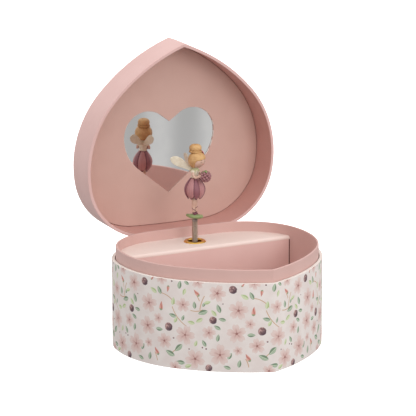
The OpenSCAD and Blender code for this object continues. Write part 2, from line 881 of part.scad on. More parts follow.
module comb_screws() {
    color("#c6c6c2")
    for (dz = [4, 12])
        translate([comb_x1 - 2.2, post_y - comb_t / 2, cyl_z + dz]) {
            rotate([-90, 0, 0]) cylinder(r = 0.8, h = 5, $fn = 32);
            difference() {
                rotate([90, 0, 0]) cylinder(r = 1.6, h = 1, $fn = 32);
                translate([-2, -1.4, -0.2]) cube([4, 0.8, 0.4]);
            }
        }
}

// ---- Coil spring and figure ----

spring_z0 = deck_z - 0.6;
figure_z = deck_z + post_h;
spring_len = figure_z - 1.2 - spring_z0;
coils = floor(spring_len / wire_d);
// Close-wound spring, as touching turns with an open bore
module flex_spring() {
    pitch = spring_len / coils;
    mid = (spring_d - wire_d) / 2;
    color("#8d857c")
    translate([0, post_y, spring_z0])
        rotate_extrude($fn = 48) {
            for (i = [0:coils - 1])
                translate([mid, pitch * (i + 0.5)]) circle(wire_d / 2, $fn = 16);
            translate([mid - wire_d / 4, pitch / 2]) square([wire_d / 2, spring_len - pitch]);
        }
}

// Plug in the spring's top, with the stub on which the figure turns
stub_r = 1.1;
stub_h = 3;
module swivel_plug() {
    top = figure_z - 1.2;
    color("#a8a8a4")
    translate([0, post_y, 0]) rotate_extrude($fn = 48)
        polygon([[0, top - 3], [plug_r, top - 3], [plug_r, top], [spring_d / 2, top],
            [spring_d / 2, figure_z - 0.1], [stub_r, figure_z - 0.1], [stub_r, figure_z + stub_h],
            [0, figure_z + stub_h]]);
}

// Heights in the figure are shares of its height, measured up from its leaf
function up(share) = share * figure_h;
module on_figure() {
    translate([0, post_y, figure_z]) rotate([0, 0, face_turn]) children();
}

module stub_hole() {
    translate([0, 0, -1]) cylinder(r = stub_r + fit, h = stub_h + 1.3, $fn = 48);
}

leaf_t2 = 3.4;
module leaf_base() {
    color("#8b9663")
    on_figure() difference() {
        intersection() {
            rotate([0, -7, 0]) translate([0, 0, leaf_t2 / 2])
                rotate_extrude($fn = 64) {
                    translate([leaf_base_d / 2 - leaf_t2 / 2, 0]) circle(leaf_t2 / 2, $fn = 32);
                    translate([0, -leaf_t2 / 2]) square([leaf_base_d / 2 - leaf_t2 / 2, leaf_t2]);
                }
            cylinder(r = leaf_base_d, h = 10, $fn = 64);
        }
        stub_hole();
    }
}

leg_x = 1.25;
shoe_z = leaf_t2 + 0.3;
module shoes() {
    color("#79404f")
    on_figure() for (side = [-1, 1])
        translate([side * leg_x, -0.5, shoe_z + 0.9]) {
            sphere(r = 1.15, $fn = 24);
            translate([0, 0.5, 0]) cylinder(r = 1.2, h = 2.6, $fn = 24);
        }
}

skirt_z0 = up(0.27);
skirt_z1 = up(0.555);
module legs() {
    color("#dcb7a3")
    on_figure() for (side = [-1, 1])
        translate([side * leg_x, 0, shoe_z + 3.5])
            cylinder(r1 = 1.0, r2 = 1.3, h = skirt_z0 + 1.5 - shoe_z - 3.5, $fn = 24);
}

// Tulip profile of the petal skirt, moved out by grow
module tulip(grow) {
    h = skirt_z1 - skirt_z0;
    wide = skirt_d / 2 - 0.5 + grow;
    intersection() {
        translate([wide - h * 0.62, skirt_z0 + h * 0.42]) circle(h * 0.62, $fn = 64);
        translate([0, skirt_z0]) square([skirt_d, h]);
    }
}

// One petal's outline seen from its side: broad, with a pointed tip below
module petal_face(w) {
    h = skirt_z1 - skirt_z0;
    intersection() {
        translate([w * 0.5, skirt_z0 + h * 0.5]) circle(w, $fn = 48);
        translate([-w * 0.5, skirt_z0 + h * 0.5]) circle(w, $fn = 48);
    }
    translate([-w * 0.4, skirt_z0 + h * 0.5]) square([w * 0.8, h * 0.5]);
}

module petals(w, grow, first) {
    on_figure() intersection() {
        difference() {
            rotate_extrude($fn = 64) tulip(grow);
            rotate_extrude($fn = 64) intersection() {
                tulip(grow - 0.8);
                translate([0, 0]) square([skirt_d, skirt_z1 - 1]);
            }
        }
        for (k = [0:3])
            rotate([0, 0, first + 90 * k])
                translate([0, -1.2, 0]) rotate([90, 0, 0]) linear_extrude(height = skirt_d) petal_face(w);
    }
}

module pink_petals() {
    color("#ab7a76") petals(6.6, 0, 0);
}

module plum_petals() {
    color("#8e6063") petals(5.2, 0.5, 45);
}

waist_z = skirt_z1;
neck_z = up(0.675);
module bodice() {
    color("#e6dcc4")
    on_figure() translate([0, 0, waist_z - 0.5])
        rotate_extrude($fn = 48)
            polygon([[0, 0], [2.6, 0], [3, 2], [3.3, 4], [2.6, 6], [1.5, neck_z - waist_z + 0.8], [0, neck_z - waist_z + 0.8]]);
}

module leaf_bib() {
    color("#c3c08f")
    on_figure() translate([0, 0, neck_z])
        rotate_extrude($fn = 48)
            polygon([[1.6, 0], [2.2, 0], [3.9, -1.6], [3.8, -2.3], [2.8, -1.9], [1.6, -0.8]]);
}

head_r = head_d / 2;
head_z = up(0.785);
head_y = -2.2;
module head() {
    color("#e2bda8")
    on_figure() translate([0, head_y, head_z]) sphere(r = head_r - 0.35, $fn = 48);
}

bun_r = 3;
module hair() {
    color("#cca473")
    on_figure() {
        difference() {
            translate([0, head_y + 0.6, head_z + 0.5]) sphere(r = head_r, $fn = 48);
            translate([0, head_y - head_r - 1, head_z - 3.6]) sphere(r = head_r + 0.4, $fn = 48);
        }
        translate([0, -0.6, figure_h - bun_r - 0.2])
            rotate_extrude($fn = 48) {
                intersection() {
                    translate([1.7, 0]) circle(bun_r, $fn = 32);
                    translate([1.7, -bun_r]) square(2 * bun_r);
                }
                translate([0, -bun_r]) square([1.7, 2 * bun_r]);
            }
    }
}

module hair_flower() {
    color("#dfa0a6")
    on_figure() translate([3.4, head_y - 0.5, up(0.875)])
        for (k = [0:4])
            rotate([0, 90, 0]) rotate([0, 0, k * 72]) translate([0.9, 0, 0]) sphere(r = 0.85, $fn = 16);
}

shoulder_z = neck_z - 1.6;
berry_y = -9.4;
berry_z = up(0.58);
berry_r = berry_d / 2;
module arms() {
    color("#e2bda8")
    on_figure() for (side = [-1, 1]) hull() {
        translate([side * 3.2, -0.4, shoulder_z]) sphere(r = 1.1, $fn = 16);
        translate([side * 3, -5.2, berry_z + 0.8]) sphere(r = 0.95, $fn = 16);
    }
}

wing_spread = 33;
module wings() {
    wing_t = 0.8;
    color("#ece3d0")
    on_figure() for (side = [-1, 1])
        translate([0, 1.8, up(0.64)])
            rotate([0, 0, side * wing_spread]) rotate([0, 62, 90])
                hull() {
                    translate([0, 0, 0]) rotate([90, 0, 0]) cylinder(r = 1, h = wing_t, center = true, $fn = 24);
                    translate([1.2, 0, wing_l - 3]) rotate([90, 0, 0]) cylinder(r = 3, h = wing_t, center = true, $fn = 32);
                }
}

// Berry: rings of lobes stacked on a round core
module berry() {
    lobe = berry_r * 0.3;
    color("#784f49")
    on_figure() translate([0, berry_y, berry_z])
        rotate_extrude($fn = 64) {
            for (tilt = [-50:25:50])
                translate((berry_r - lobe) * [cos(tilt), sin(tilt)]) circle(lobe, $fn = 24);
            translate([0, -berry_r * 0.8]) square([berry_r * 0.5, berry_r * 1.6]);
            intersection() {
                circle(berry_r * 0.8, $fn = 48);
                translate([0, -berry_r]) square([berry_r, 2 * berry_r]);
            }
        }
}

module berry_leaf() {
    color("#7f9160")
    on_figure() translate([0, berry_y, berry_z + berry_r - 0.6])
        for (k = [0:4])
            rotate([0, 0, k * 72]) translate([1.2, 0, 0]) cylinder(r = 1.1, h = 0.7, $fn = 20);
}

floral_wrap();
case_wall();
bottom_board();
collar();
tray_lining();
deck_top();
deck_front();
eyelet();
eyelet_washer();
hinge_body_leaves();
hinge_pins();
hinge_rivets();
lid_wrap();
lid_wall();
lid_top_board();
lid_lining();
mirror_glass();
mirror_spacer();
hinge_lid_leaves();
lid_rivets();
bedplate();
standoffs();
mounting_screws();
bearing_brackets();
governor_frame();
comb();
comb_base();
comb_screws();
click_spring();
key_escutcheon();
winding_arbor();
winding_key();
ratchet_wheel();
spring_barrel();
barrel_cover();
mainspring();
pinned_cylinder();
tune_pins();
spindle();
drive_pinion();
cylinder_gear();
governor_wheel();
worm_shaft();
air_brake();
flex_spring();
swivel_plug();
leaf_base();
shoes();
legs();
pink_petals();
plum_petals();
bodice();
leaf_bib();
arms();
head();
hair();
hair_flower();
wings();
berry();
berry_leaf();
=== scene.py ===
"""Looks of the wind-up musical jewellery box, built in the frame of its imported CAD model.

Sizes in this script are in millimetres until a mesh is made; MM turns them into metres.
"""
import json
from math import asin, atan2, ceil, cos, degrees, exp, hypot, pi, radians, sin, sqrt, tau

import bmesh
import bpy
from mathutils import Matrix, Vector
from mathutils.geometry import tessellate_polygon


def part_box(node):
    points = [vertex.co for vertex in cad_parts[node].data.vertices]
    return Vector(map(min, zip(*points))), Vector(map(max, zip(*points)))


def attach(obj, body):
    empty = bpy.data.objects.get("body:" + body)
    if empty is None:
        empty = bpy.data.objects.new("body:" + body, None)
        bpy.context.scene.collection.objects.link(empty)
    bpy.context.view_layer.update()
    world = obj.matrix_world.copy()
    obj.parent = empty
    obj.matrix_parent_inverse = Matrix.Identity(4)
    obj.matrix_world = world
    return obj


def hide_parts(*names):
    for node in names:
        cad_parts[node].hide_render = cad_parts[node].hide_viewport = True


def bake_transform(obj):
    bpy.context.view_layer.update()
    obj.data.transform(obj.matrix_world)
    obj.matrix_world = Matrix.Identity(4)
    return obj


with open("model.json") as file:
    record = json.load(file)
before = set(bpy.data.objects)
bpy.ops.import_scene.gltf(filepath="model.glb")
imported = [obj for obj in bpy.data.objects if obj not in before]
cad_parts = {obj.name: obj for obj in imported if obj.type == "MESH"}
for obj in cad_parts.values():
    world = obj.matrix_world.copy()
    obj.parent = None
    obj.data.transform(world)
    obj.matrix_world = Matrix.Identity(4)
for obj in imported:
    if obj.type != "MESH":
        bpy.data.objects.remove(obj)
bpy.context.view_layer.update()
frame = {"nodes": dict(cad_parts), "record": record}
nodes = frame["nodes"]
joints = {j["name"]: j for j in frame["record"]["behaviour"]["joints"]}
MM = 0.001


# ---- Places and sizes, read from the frame ----

def low(node, axis):
    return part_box(node)[0][axis] / MM


def high(node, axis):
    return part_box(node)[1][axis] / MM


def joint_point(name):
    return Vector(joints[name]["pos_m"]) / MM


HINGE = joint_point("lid_hinge")
OPENING = radians(joints["lid_hinge"]["range_deg"][1])
OPENED = Matrix.Translation(HINGE) @ Matrix.Rotation(-OPENING, 4, "X") @ Matrix.Translation(-HINGE)


def closed_heights(node):
    """Lowest and highest point of one of the lid's nodes when the lid is closed."""
    back = OPENED.inverted()
    heights = [(back @ (v.co / MM)).z for v in nodes[node].data.vertices]
    return min(heights), max(heights)


BODY_W = high("floral_wrap", 0) - low("floral_wrap", 0)
BODY_L = high("floral_wrap", 1) - low("floral_wrap", 1)
BODY_H = high("floral_wrap", 2)
BACK_Y = BODY_L / 2
WRAP_T = high("floral_wrap", 0) - high("case_wall", 0)
WALL_IN = high("floral_wrap", 0) - high("bottom_board", 0)
COLLAR_OUT = high("floral_wrap", 0) - high("collar", 0)
COLLAR_IN = high("floral_wrap", 0) - high("tray_lining", 0)
COLLAR_TOP = high("collar", 2)
POST_Y = (low("eyelet", 1) + high("eyelet", 1)) / 2
LID_RIM, LID_TOP = closed_heights("lid_wrap")
LID_OUT = high("floral_wrap", 0) - high("lid_wrap", 0)
PANEL_Z, PANEL_TOP = closed_heights("lid_lining")
PANEL_INSET = high("floral_wrap", 0) - high("lid_lining", 0)
PANEL_GAP = 0.3
LID_IN = PANEL_INSET - PANEL_GAP
FIGURE_AT = joint_point("figure_spin")
FACE_TURN = radians(30)
FIGURE = Matrix.Translation(FIGURE_AT) @ Matrix.Rotation(FACE_TURN, 4, "Z")

# Teardrop outline: five arcs a side, each running into the next
TIP_R = 3.3
LOBE_R = 49.0
HEADINGS = (0, 20, 48, 100, 178, 180)
# The heart opening's width, and how far its point is from the back of the box
HEART_W = 74.5
HEART_TIP = 26.5


def arc_radii():
    """Radii that make the five arcs span the body's width and length."""
    s = [sin(radians(h)) for h in HEADINGS]
    c = [cos(radians(h)) for h in HEADINGS]
    base = (BODY_W / 2 + LOBE_R * (s[4] - s[3])) / s[4]
    share = (1 - s[3]) / s[4]
    wide_flank, wide_side = s[2] - s[1], 1 - s[2]
    wide_rest = BODY_W / 2 - TIP_R * s[1]
    long_flank = c[1] - c[2]
    long_side = c[2] - c[3] - share * (1 + c[4])
    long_rest = BODY_L - TIP_R * (1 - c[1]) - LOBE_R * (c[3] - c[4]) - base * (1 + c[4])
    mix = wide_flank * long_side - wide_side * long_flank
    flank = (wide_rest * long_side - wide_side * long_rest) / mix
    side = (wide_flank * long_rest - long_flank * wide_rest) / mix
    return TIP_R, flank, side, LOBE_R, base - side * share


RADII = arc_radii()


def heading(angle):
    """Way from an arc's centre to its point at an angle, 0 being the front and 180 the back."""
    return Vector((sin(radians(angle)), -cos(radians(angle))))


def arc_centres():
    centres = [Vector((0, TIP_R - BODY_L / 2))]
    for i in range(1, 5):
        centres.append(centres[-1] + (RADII[i - 1] - RADII[i]) * heading(HEADINGS[i]))
    return centres


CENTRES = arc_centres()


def half_outline(inset):
    """Points of the right half, from the front tip to the back middle; the count doesn't depend on inset."""
    sharp = inset >= TIP_R
    first = 0
    if sharp:
        off = (RADII[1] - TIP_R) * sin(radians(HEADINGS[1]))
        first = degrees(asin(off / (RADII[1] - inset)))
    points = []
    for i in range(5):
        steps = max(4, ceil((HEADINGS[i + 1] - HEADINGS[i]) / 2))
        for k in range(steps + (i == 4)):
            angle = HEADINGS[i] + (HEADINGS[i + 1] - HEADINGS[i]) * k / steps
            arc = max(i, 1) if sharp else i
            points.append(CENTRES[arc] + (RADII[arc] - inset) * heading(max(angle, first)))
    points[0].x = points[-1].x = 0
    return points


def outline(inset):
    """The whole outline from the back middle, round the left side and the tip, to the back again."""
    right = half_outline(inset)
    left = [Vector((-p.x, p.y)) for p in right]
    return left[::-1][:-1] + right


def arc_lengths(points):
    """Distance along an open line of points, measured from its middle."""
    total = [0.0]
    for a, b in zip(points, points[1:]):
        total.append(total[-1] + (b - a).length)
    return [t - total[-1] / 2 for t in total]


def heart(width, lower):
    """The heart's outline on the closed lid, its point towards the back, from the point round one side."""
    lobe, broad = width / 4, width * 0.437
    wide_y, cleft_y = width * 0.612, width * 0.74
    centre = Vector((width / 2 - broad, wide_y))
    lean = atan2(centre.x, centre.y) + asin(broad / centre.length)
    side = [Vector((0, 0))]
    for k in range(25):
        a = -lean * (1 - k / 24)
        side.append(centre + broad * Vector((cos(a), sin(a))))
    for k in range(1, 25):
        a = radians(125) * k / 24
        side.append(Vector((width / 2 - lobe, wide_y)) + lobe * Vector((cos(a), sin(a))))
    side.append(Vector((0, cleft_y)))
    ring = side + [Vector((-p.x, p.y)) for p in side[-2:0:-1]]
    return [Vector((-p.x, BACK_Y - lower - p.y)) for p in ring]


# ---- Mesh helpers ----

def mesh_object(name, verts, faces, matrix=Matrix.Identity(4), uvs=None, crease=35):
    """A smooth-shaded object from points in mm. uvs holds one (u, v) for each corner of each face."""
    mesh = bpy.data.meshes.new(name)
    mesh.from_pydata([tuple((matrix @ Vector(v)) * MM) for v in verts], [], faces)
    if uvs:
        layer = mesh.uv_layers.new(name="print")
        for loop, uv in zip(layer.data, (uv for face in uvs for uv in face)):
            loop.uv = uv
    b = bmesh.new()
    b.from_mesh(mesh)
    bmesh.ops.remove_doubles(b, verts=b.verts, dist=1e-6)
    bmesh.ops.dissolve_degenerate(b, edges=b.edges, dist=1e-6)
    bmesh.ops.recalc_face_normals(b, faces=b.faces)
    b.to_mesh(mesh)
    b.free()
    mesh.shade_smooth()
    if crease:
        mesh.set_sharp_from_angle(angle=radians(crease))
    obj = bpy.data.objects.new(name, mesh)
    bpy.context.scene.collection.objects.link(obj)
    return obj


def place(obj, body, material, slot, *replaced):
    """Gives a new piece its material, its body and the CAD nodes that it stands for; slot is not used."""
    obj.data.materials.clear()
    obj.data.materials.append(material)
    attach(obj, body)
    if replaced:
        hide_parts(*replaced)
    return obj


def rounded(corners, steps=5):
    """Closed 2D loop through (x, y, radius) corners, each rounded with an arc-like curve."""
    loop = []
    count = len(corners)
    for i, (x, y, r) in enumerate(corners):
        here = Vector((x, y))
        before = Vector(corners[i - 1][:2]) - here
        after = Vector(corners[(i + 1) % count][:2]) - here
        if r <= 0:
            loop.append(here)
            continue
        a = here + before.normalized() * r
        b = here + after.normalized() * r
        for k in range(steps + 1):
            t = k / steps
            loop.append((1 - t) ** 2 * a + 2 * t * (1 - t) * here + t ** 2 * b)
    return loop


def swept_wall(name, profile, matrix=Matrix.Identity(4)):
    """A wall with the closed profile (inset, height), swept round the teardrop. UVs are in mm."""
    rings = [outline(p.x) for p in profile]
    along = arc_lengths(outline(0))
    columns = len(along)
    verts = [(q.x, q.y, p.y) for p, ring in zip(profile, rings) for q in ring]
    faces, uvs = [], []
    for j in range(len(profile)):
        n = (j + 1) % len(profile)
        for k in range(columns - 1):
            faces.append((j * columns + k, j * columns + k + 1, n * columns + k + 1, n * columns + k))
            uvs.append(((along[k], profile[j].y), (along[k + 1], profile[j].y),
                        (along[k + 1], profile[n].y), (along[k], profile[n].y)))
    return mesh_object(name, verts, faces, matrix, uvs)


def all_round(count):
    """Angles of count even steps of a full turn."""
    return [tau * k / count for k in range(count)]


def bands(rows, around, first=0):
    """Faces between rows of points, with around points in each closed row."""
    faces = []
    for j in range(rows - 1):
        for k in range(around):
            n = (k + 1) % around
            a, b = first + j * around, first + (j + 1) * around
            faces.append((a + k, a + n, b + n, b + k))
    return faces


def grid(across, down):
    """Faces of an open sheet of points, across + 1 in a row and down + 1 rows."""
    return [(k, k + 1, k + across + 2, k + across + 1)
            for j in range(down) for k in range(j * (across + 1), j * (across + 1) + across)]


def capped_bands(rows, around):
    """Faces of a tube of points, with one face over each end."""
    return bands(rows, around) + [tuple(range(around)), tuple(range((rows - 1) * around, rows * around))]


def slab(name, rings, holes=(), matrix=Matrix.Identity(4)):
    """A flat piece. rings lists (outline, height) from bottom to top; holes holds such lists."""
    verts, faces = [], []
    loops = []
    for side in (rings, *holes):
        starts = []
        for points, z in side:
            starts.append(len(verts))
            verts += [(p.x, p.y, z) for p in points]
        count = len(side[0][0])
        for a, b in zip(starts, starts[1:]):
            faces += [(a + k, a + (k + 1) % count, b + (k + 1) % count, b + k) for k in range(count)]
        loops.append((starts[0], starts[-1], count))
    for level in (0, 1):
        index = [loop[level] + k for loop in loops for k in range(loop[2])]
        polygons = [[Vector(verts[loop[level] + k]) for k in range(loop[2])] for loop in loops]
        faces += [tuple(index[i] for i in triangle) for triangle in tessellate_polygon(polygons)]
    return mesh_object(name, verts, faces, matrix)


def loft(name, sections, matrix=Matrix.Identity(4), around=16, smooth=1):
    """A closed form through ellipses (centre, side vector, up vector); the vectors give the radii."""
    verts = []
    for centre, side, up in sections:
        for a in all_round(around):
            verts.append(Vector(centre) + cos(a) * Vector(side) + sin(a) * Vector(up))
    obj = mesh_object(name, verts, capped_bands(len(sections), around), matrix, crease=0)
    if smooth:
        obj.modifiers.new("smooth", "SUBSURF").levels = smooth
        obj.modifiers["smooth"].render_levels = smooth
    return obj


def tube(name, path, radius, matrix=Matrix.Identity(4), around=8, taper=None):
    """A round tube along a path, closed at both ends. taper(share of the way) scales its radius."""
    path = [Vector(p) for p in path]
    verts = []
    side = None
    for i, p in enumerate(path):
        ahead = (path[min(i + 1, len(path) - 1)] - path[max(i - 1, 0)]).normalized()
        if side is None:
            side = ahead.orthogonal().normalized()
        side = (side - ahead * side.dot(ahead)).normalized()
        up = ahead.cross(side)
        r = radius * (taper(i / (len(path) - 1)) if taper else 1)
        for a in all_round(around):
            verts.append(p + r * (cos(a) * side + sin(a) * up))
    return mesh_object(name, verts, capped_bands(len(path), around), matrix, crease=60)


def globe(name, shape, matrix=Matrix.Identity(4), around=48, rings=28):
    """A closed form whose points are shape(direction), for directions all round."""
    verts = [shape(Vector((0, 0, -1)))]
    for j in range(1, rings):
        polar = pi * j / rings
        flat = sin(polar)
        for a in all_round(around):
            verts.append(shape(Vector((flat * cos(a), flat * sin(a), -cos(polar)))))
    verts.append(shape(Vector((0, 0, 1))))
    faces = bands(rings - 1, around, 1)
    top = len(verts) - 1
    for k in range(around):
        n = (k + 1) % around
        faces.append((0, 1 + n, 1 + k))
        faces.append((top, top - around + k, top - around + n))
    return mesh_object(name, verts, faces, matrix, crease=0)


def thickened(sheet, thickness):
    """A sheet of points given its thickness, then smoothed."""
    sheet.modifiers.new("thick", "SOLIDIFY").thickness = thickness * MM
    sheet.modifiers.new("smooth", "SUBSURF").render_levels = 1
    return sheet


def join(name, parts):
    """One object from several, in the first one's place."""
    for part in parts:
        for modifier in list(part.modifiers):
            with bpy.context.temp_override(object=part, active_object=part):
                bpy.ops.object.modifier_apply(modifier=modifier.name)
    with bpy.context.temp_override(active_object=parts[0], selected_editable_objects=parts, object=parts[0]):
        bpy.ops.object.join()
    parts[0].name = name
    return parts[0]


def smoothstep(low_edge, high_edge, x):
    t = min(max((x - low_edge) / (high_edge - low_edge), 0), 1)
    return t * t * (3 - 2 * t)


# ---- Materials ----

def srgb(r, g, b):
    """Linear colour of an 8-bit screen colour."""
    linear = [((c / 255 + 0.055) / 1.055) ** 2.4 if c > 10 else c / 255 / 12.92 for c in (r, g, b)]
    return (*linear, 1)


class Graph:
    """Short forms for the nodes of one tree."""

    def __init__(self, tree):
        self.tree = tree
        self.shader = tree.nodes.get("Principled BSDF")

    def add(self, kind, **settings):
        node = self.tree.nodes.new(kind)
        for name, value in settings.items():
            setattr(node, name, value)
        return node

    def put(self, socket, value):
        if isinstance(value, bpy.types.NodeSocket):
            self.tree.links.new(value, socket)
        else:
            socket.default_value = value

    def set(self, socket, value):
        self.put(self.shader.inputs[socket], value)

    def math(self, operation, *values):
        node = self.add("ShaderNodeMath", operation=operation)
        for socket, value in zip(node.inputs, values):
            self.put(socket, value)
        return node.outputs[0]

    def plus(self, a, b):
        return self.math("ADD", a, b)

    def minus(self, a, b):
        return self.math("SUBTRACT", a, b)

    def times(self, a, b):
        return self.math("MULTIPLY", a, b)

    def abs(self, a):
        return self.math("ABSOLUTE", a)

    def sin(self, a):
        return self.math("SINE", a)

    def vector(self, operation, *values):
        node = self.add("ShaderNodeVectorMath", operation=operation)
        for socket, value in zip(node.inputs, values):
            self.put(socket, value)
        return node.outputs["Value" if operation in ("LENGTH", "DOT_PRODUCT") else "Vector"]

    def split(self, vector):
        node = self.add("ShaderNodeSeparateXYZ")
        self.put(node.inputs[0], vector)
        return node.outputs

    def combine(self, x, y, z=0.0):
        node = self.add("ShaderNodeCombineXYZ")
        for socket, value in zip(node.inputs, (x, y, z)):
            self.put(socket, value)
        return node.outputs[0]

    def step(self, value, start, end, low_value=0.0, high_value=1.0):
        node = self.add("ShaderNodeMapRange", interpolation_type="SMOOTHSTEP")
        for socket, v in zip(node.inputs, (value, start, end, low_value, high_value)):
            self.put(socket, v)
        return node.outputs[0]

    def mix(self, factor, a, b):
        """A colour between a and b. Three numbers are an 8-bit screen colour, four a linear one."""
        node = self.add("ShaderNodeMix", data_type="RGBA")
        for index, value in ((0, factor), (6, a), (7, b)):
            screen = isinstance(value, tuple) and len(value) == 3
            self.put(node.inputs[index], srgb(*value) if screen else value)
        return node.outputs[2]

    def noise(self, vector, scale, detail=2.0, roughness=0.5):
        node = self.add("ShaderNodeTexNoise")
        self.put(node.inputs["Vector"], vector)
        for name, value in (("Scale", scale), ("Detail", detail), ("Roughness", roughness)):
            node.inputs[name].default_value = value
        return node.outputs["Fac"]

    def voronoi(self, vector, scale):
        node = self.add("ShaderNodeTexVoronoi")
        self.put(node.inputs["Vector"], vector)
        node.inputs["Scale"].default_value = scale
        return node.outputs["Distance"]

    def bump(self, height, strength, distance):
        node = self.add("ShaderNodeBump")
        node.inputs["Strength"].default_value = strength
        node.inputs["Distance"].default_value = distance
        self.put(node.inputs["Height"], height)
        return node.outputs[0]


def surface(g, colour, marks, smooth, rough, bump, depth):
    """Sets a shader's colour, and its roughness and relief from one pattern of marks."""
    g.set("Base Color", colour)
    g.set("Roughness", g.step(marks, 0.2, 0.8, smooth, rough))
    g.set("Normal", g.bump(marks, bump, depth * MM))


def principled(name, **settings):
    """A new material and its graph. Settings are the shader's sockets, with _ for spaces."""
    material = bpy.data.materials.new(name)
    material.use_nodes = True
    graph = Graph(material.node_tree)
    for key, value in settings.items():
        graph.set(key.replace("_", " "), value)
    return material, graph


def place_of(graph):
    """The surface point in mm, in the object's own frame."""
    point = graph.add("ShaderNodeTexCoord").outputs["Object"]
    return graph.vector("MULTIPLY", point, (1 / MM, 1 / MM, 1 / MM))


def paper(name, colour, shade, roughness=0.55, grain=0.02):
    """Smooth covering paper: faint clouding, fine fibres and a soft satin face."""
    material, g = principled(name, Roughness=roughness, Specular_IOR_Level=0.35, Sheen_Weight=0.08)
    at = place_of(g)
    clouds = g.step(g.noise(at, 0.05, 3), 0.3, 0.7)
    fibres = g.noise(g.vector("MULTIPLY", at, (1.0, 1.0, 3.0)), 1.6, 4, 0.7)
    colour_now = g.mix(g.times(clouds, 0.35), colour, shade)
    colour_now = g.mix(g.times(g.step(fibres, 0.5, 0.75), 0.12), colour_now, shade)
    surface(g, colour_now, fibres, roughness - 0.06, roughness + 0.08, 0.25, grain)
    return material


def riser_paper():
    """Covering paper of the upright panel, with painted shade in the open joint at each end."""
    material = paper("riser_paper", (236, 202, 195), (228, 190, 183))
    g = Graph(material.node_tree)
    under = g.shader.inputs["Base Color"].links[0].from_socket
    x, _, _ = g.split(place_of(g))
    from_end = g.minus(high("deck_front", 0), g.abs(x))
    # Painted shade: darker towards each end, in the gap where the panel meets the collar
    painted_gap_shade = g.step(from_end, 1.1, 0.45)
    g.set("Base Color", g.mix(painted_gap_shade, under, (84, 50, 42)))
    return material


def board(name, colour, dark):
    """Raw greyboard: flecked, matt and slightly fuzzy."""
    material, g = principled(name, Roughness=0.9, Specular_IOR_Level=0.2)
    at = place_of(g)
    flecks = g.noise(g.vector("MULTIPLY", at, (1.0, 1.0, 4.0)), 1.1, 6, 0.75)
    g.set("Base Color", g.mix(g.step(flecks, 0.35, 0.7), colour, dark))
    g.set("Normal", g.bump(flecks, 0.5, 0.08 * MM))
    return material


def metal(name, colour, tint, roughness=0.28, brushed=(1, 1, 1), scale=2.0):
    """Plated or polished metal with fine working marks and slight tarnish."""
    material, g = principled(name, Metallic=1.0)
    at = place_of(g)
    marks = g.noise(g.vector("MULTIPLY", at, brushed), scale, 4, 0.6)
    tarnish = g.step(g.noise(at, 0.35, 3), 0.45, 0.75)
    colour_now = g.mix(g.times(tarnish, 0.5), colour, tint)
    surface(g, colour_now, marks, roughness - 0.08, roughness + 0.12, 0.15, 0.02)
    return material


def paint(name, colour, shade, roughness=0.42, blotch=0.4, fleck=0.3):
    """Hand-painted resin: washes of a darker shade in the colour, and a soft varnish."""
    material, g = principled(name, Specular_IOR_Level=0.45, Coat_Weight=0.12, Coat_Roughness=0.3)
    at = place_of(g)
    wash = g.step(g.noise(at, blotch, 4, 0.6), 0.35, 0.72)
    strokes = g.noise(g.vector("MULTIPLY", at, (3.0, 3.0, 0.7)), 1.2, 3)
    colour_now = g.mix(g.times(wash, 0.55), colour, shade)
    colour_now = g.mix(g.times(g.step(strokes, 0.55, 0.8), fleck), colour_now, shade)
    surface(g, colour_now, strokes, roughness - 0.08, roughness + 0.1, 0.2, 0.05)
    return material


def berry_paint():
    """Glossy plum-brown, with a painted pink highlight on the highest part of each lobe and painted shade
    between the lobes.
    """
    material, g = principled("berry_paint", Roughness=0.25, Coat_Weight=0.5, Coat_Roughness=0.12)
    mottle = g.noise(place_of(g), 0.8, 4)
    raised = g.add("ShaderNodeNewGeometry").outputs["Pointiness"]
    # Painted highlight: pink on the most pointed part of each lobe
    painted_highlight = g.step(g.plus(raised, g.times(mottle, 0.05)), 0.545, 0.60)
    tone = g.mix(g.step(mottle, 0.35, 0.65), (134, 76, 82), (96, 48, 56))
    # Painted shade: darker in the hollows between the lobes
    tone = g.mix(g.step(raised, 0.5, 0.42), tone, (56, 24, 32))
    g.set("Base Color", g.mix(g.times(painted_highlight, 0.6), tone, (214, 158, 160)))
    return material


def edged_paint(name, colour, rim, start=0.55, end=0.95):
    """Painted petal, deeper towards its edges, with u from -1 to 1 across it and v from 0 to 1 down it."""
    material, g = principled(name, Specular_IOR_Level=0.45, Coat_Weight=0.12, Coat_Roughness=0.3)
    u, v, _ = g.split(g.add("ShaderNodeUVMap", uv_map="print").outputs[0])
    at = place_of(g)
    wash = g.noise(at, 0.9, 4)
    side = g.abs(u)
    edge = g.math("MAXIMUM", side, g.step(v, 0.75, 1.0))
    edge = g.plus(edge, g.times(g.minus(wash, 0.5), 0.35))
    lines = g.step(g.sin(g.plus(g.times(u, 17.0), g.times(wash, 2.0))), 0.4, 1.0)
    tone = g.mix(g.times(lines, 0.22), colour, rim)
    g.set("Base Color", g.mix(g.step(edge, start, end), tone, rim))
    g.set("Roughness", 0.42)
    g.set("Normal", g.bump(lines, 0.3, 0.08 * MM))
    return material


# ---- Printed floral paper ----

TILE = arc_lengths(outline(0))[-1] * 2 / 7     # the print repeats seven times round the box
TILE_START = -98    # mm along the wall from the tip
# Places of the print's motifs in one tile: along the wall from the tile's left edge, and up from the base.
# Flowers: (along, up, radius, turn)
FLOWERS = ((4.2, 45.5, 7.2, 10), (3, 28.5, 7.2, 25), (33.5, 25.5, 7.4, 0), (59, 12.5, 8.0, 15),
           (41, 8.5, 7.4, 50), (17.5, 19.5, 6.0, 30), (32, 47.5, 5.4, 20), (51, 28.5, 5.2, 5),
           (12.5, 35.5, 4.0, 0), (4, 16, 3.6, 35), (43, 65, 5.0, 10), (15.5, 65, 4.6, 60),
           (57, 57.5, 6.4, 70), (26, 1, 5.0, 0))
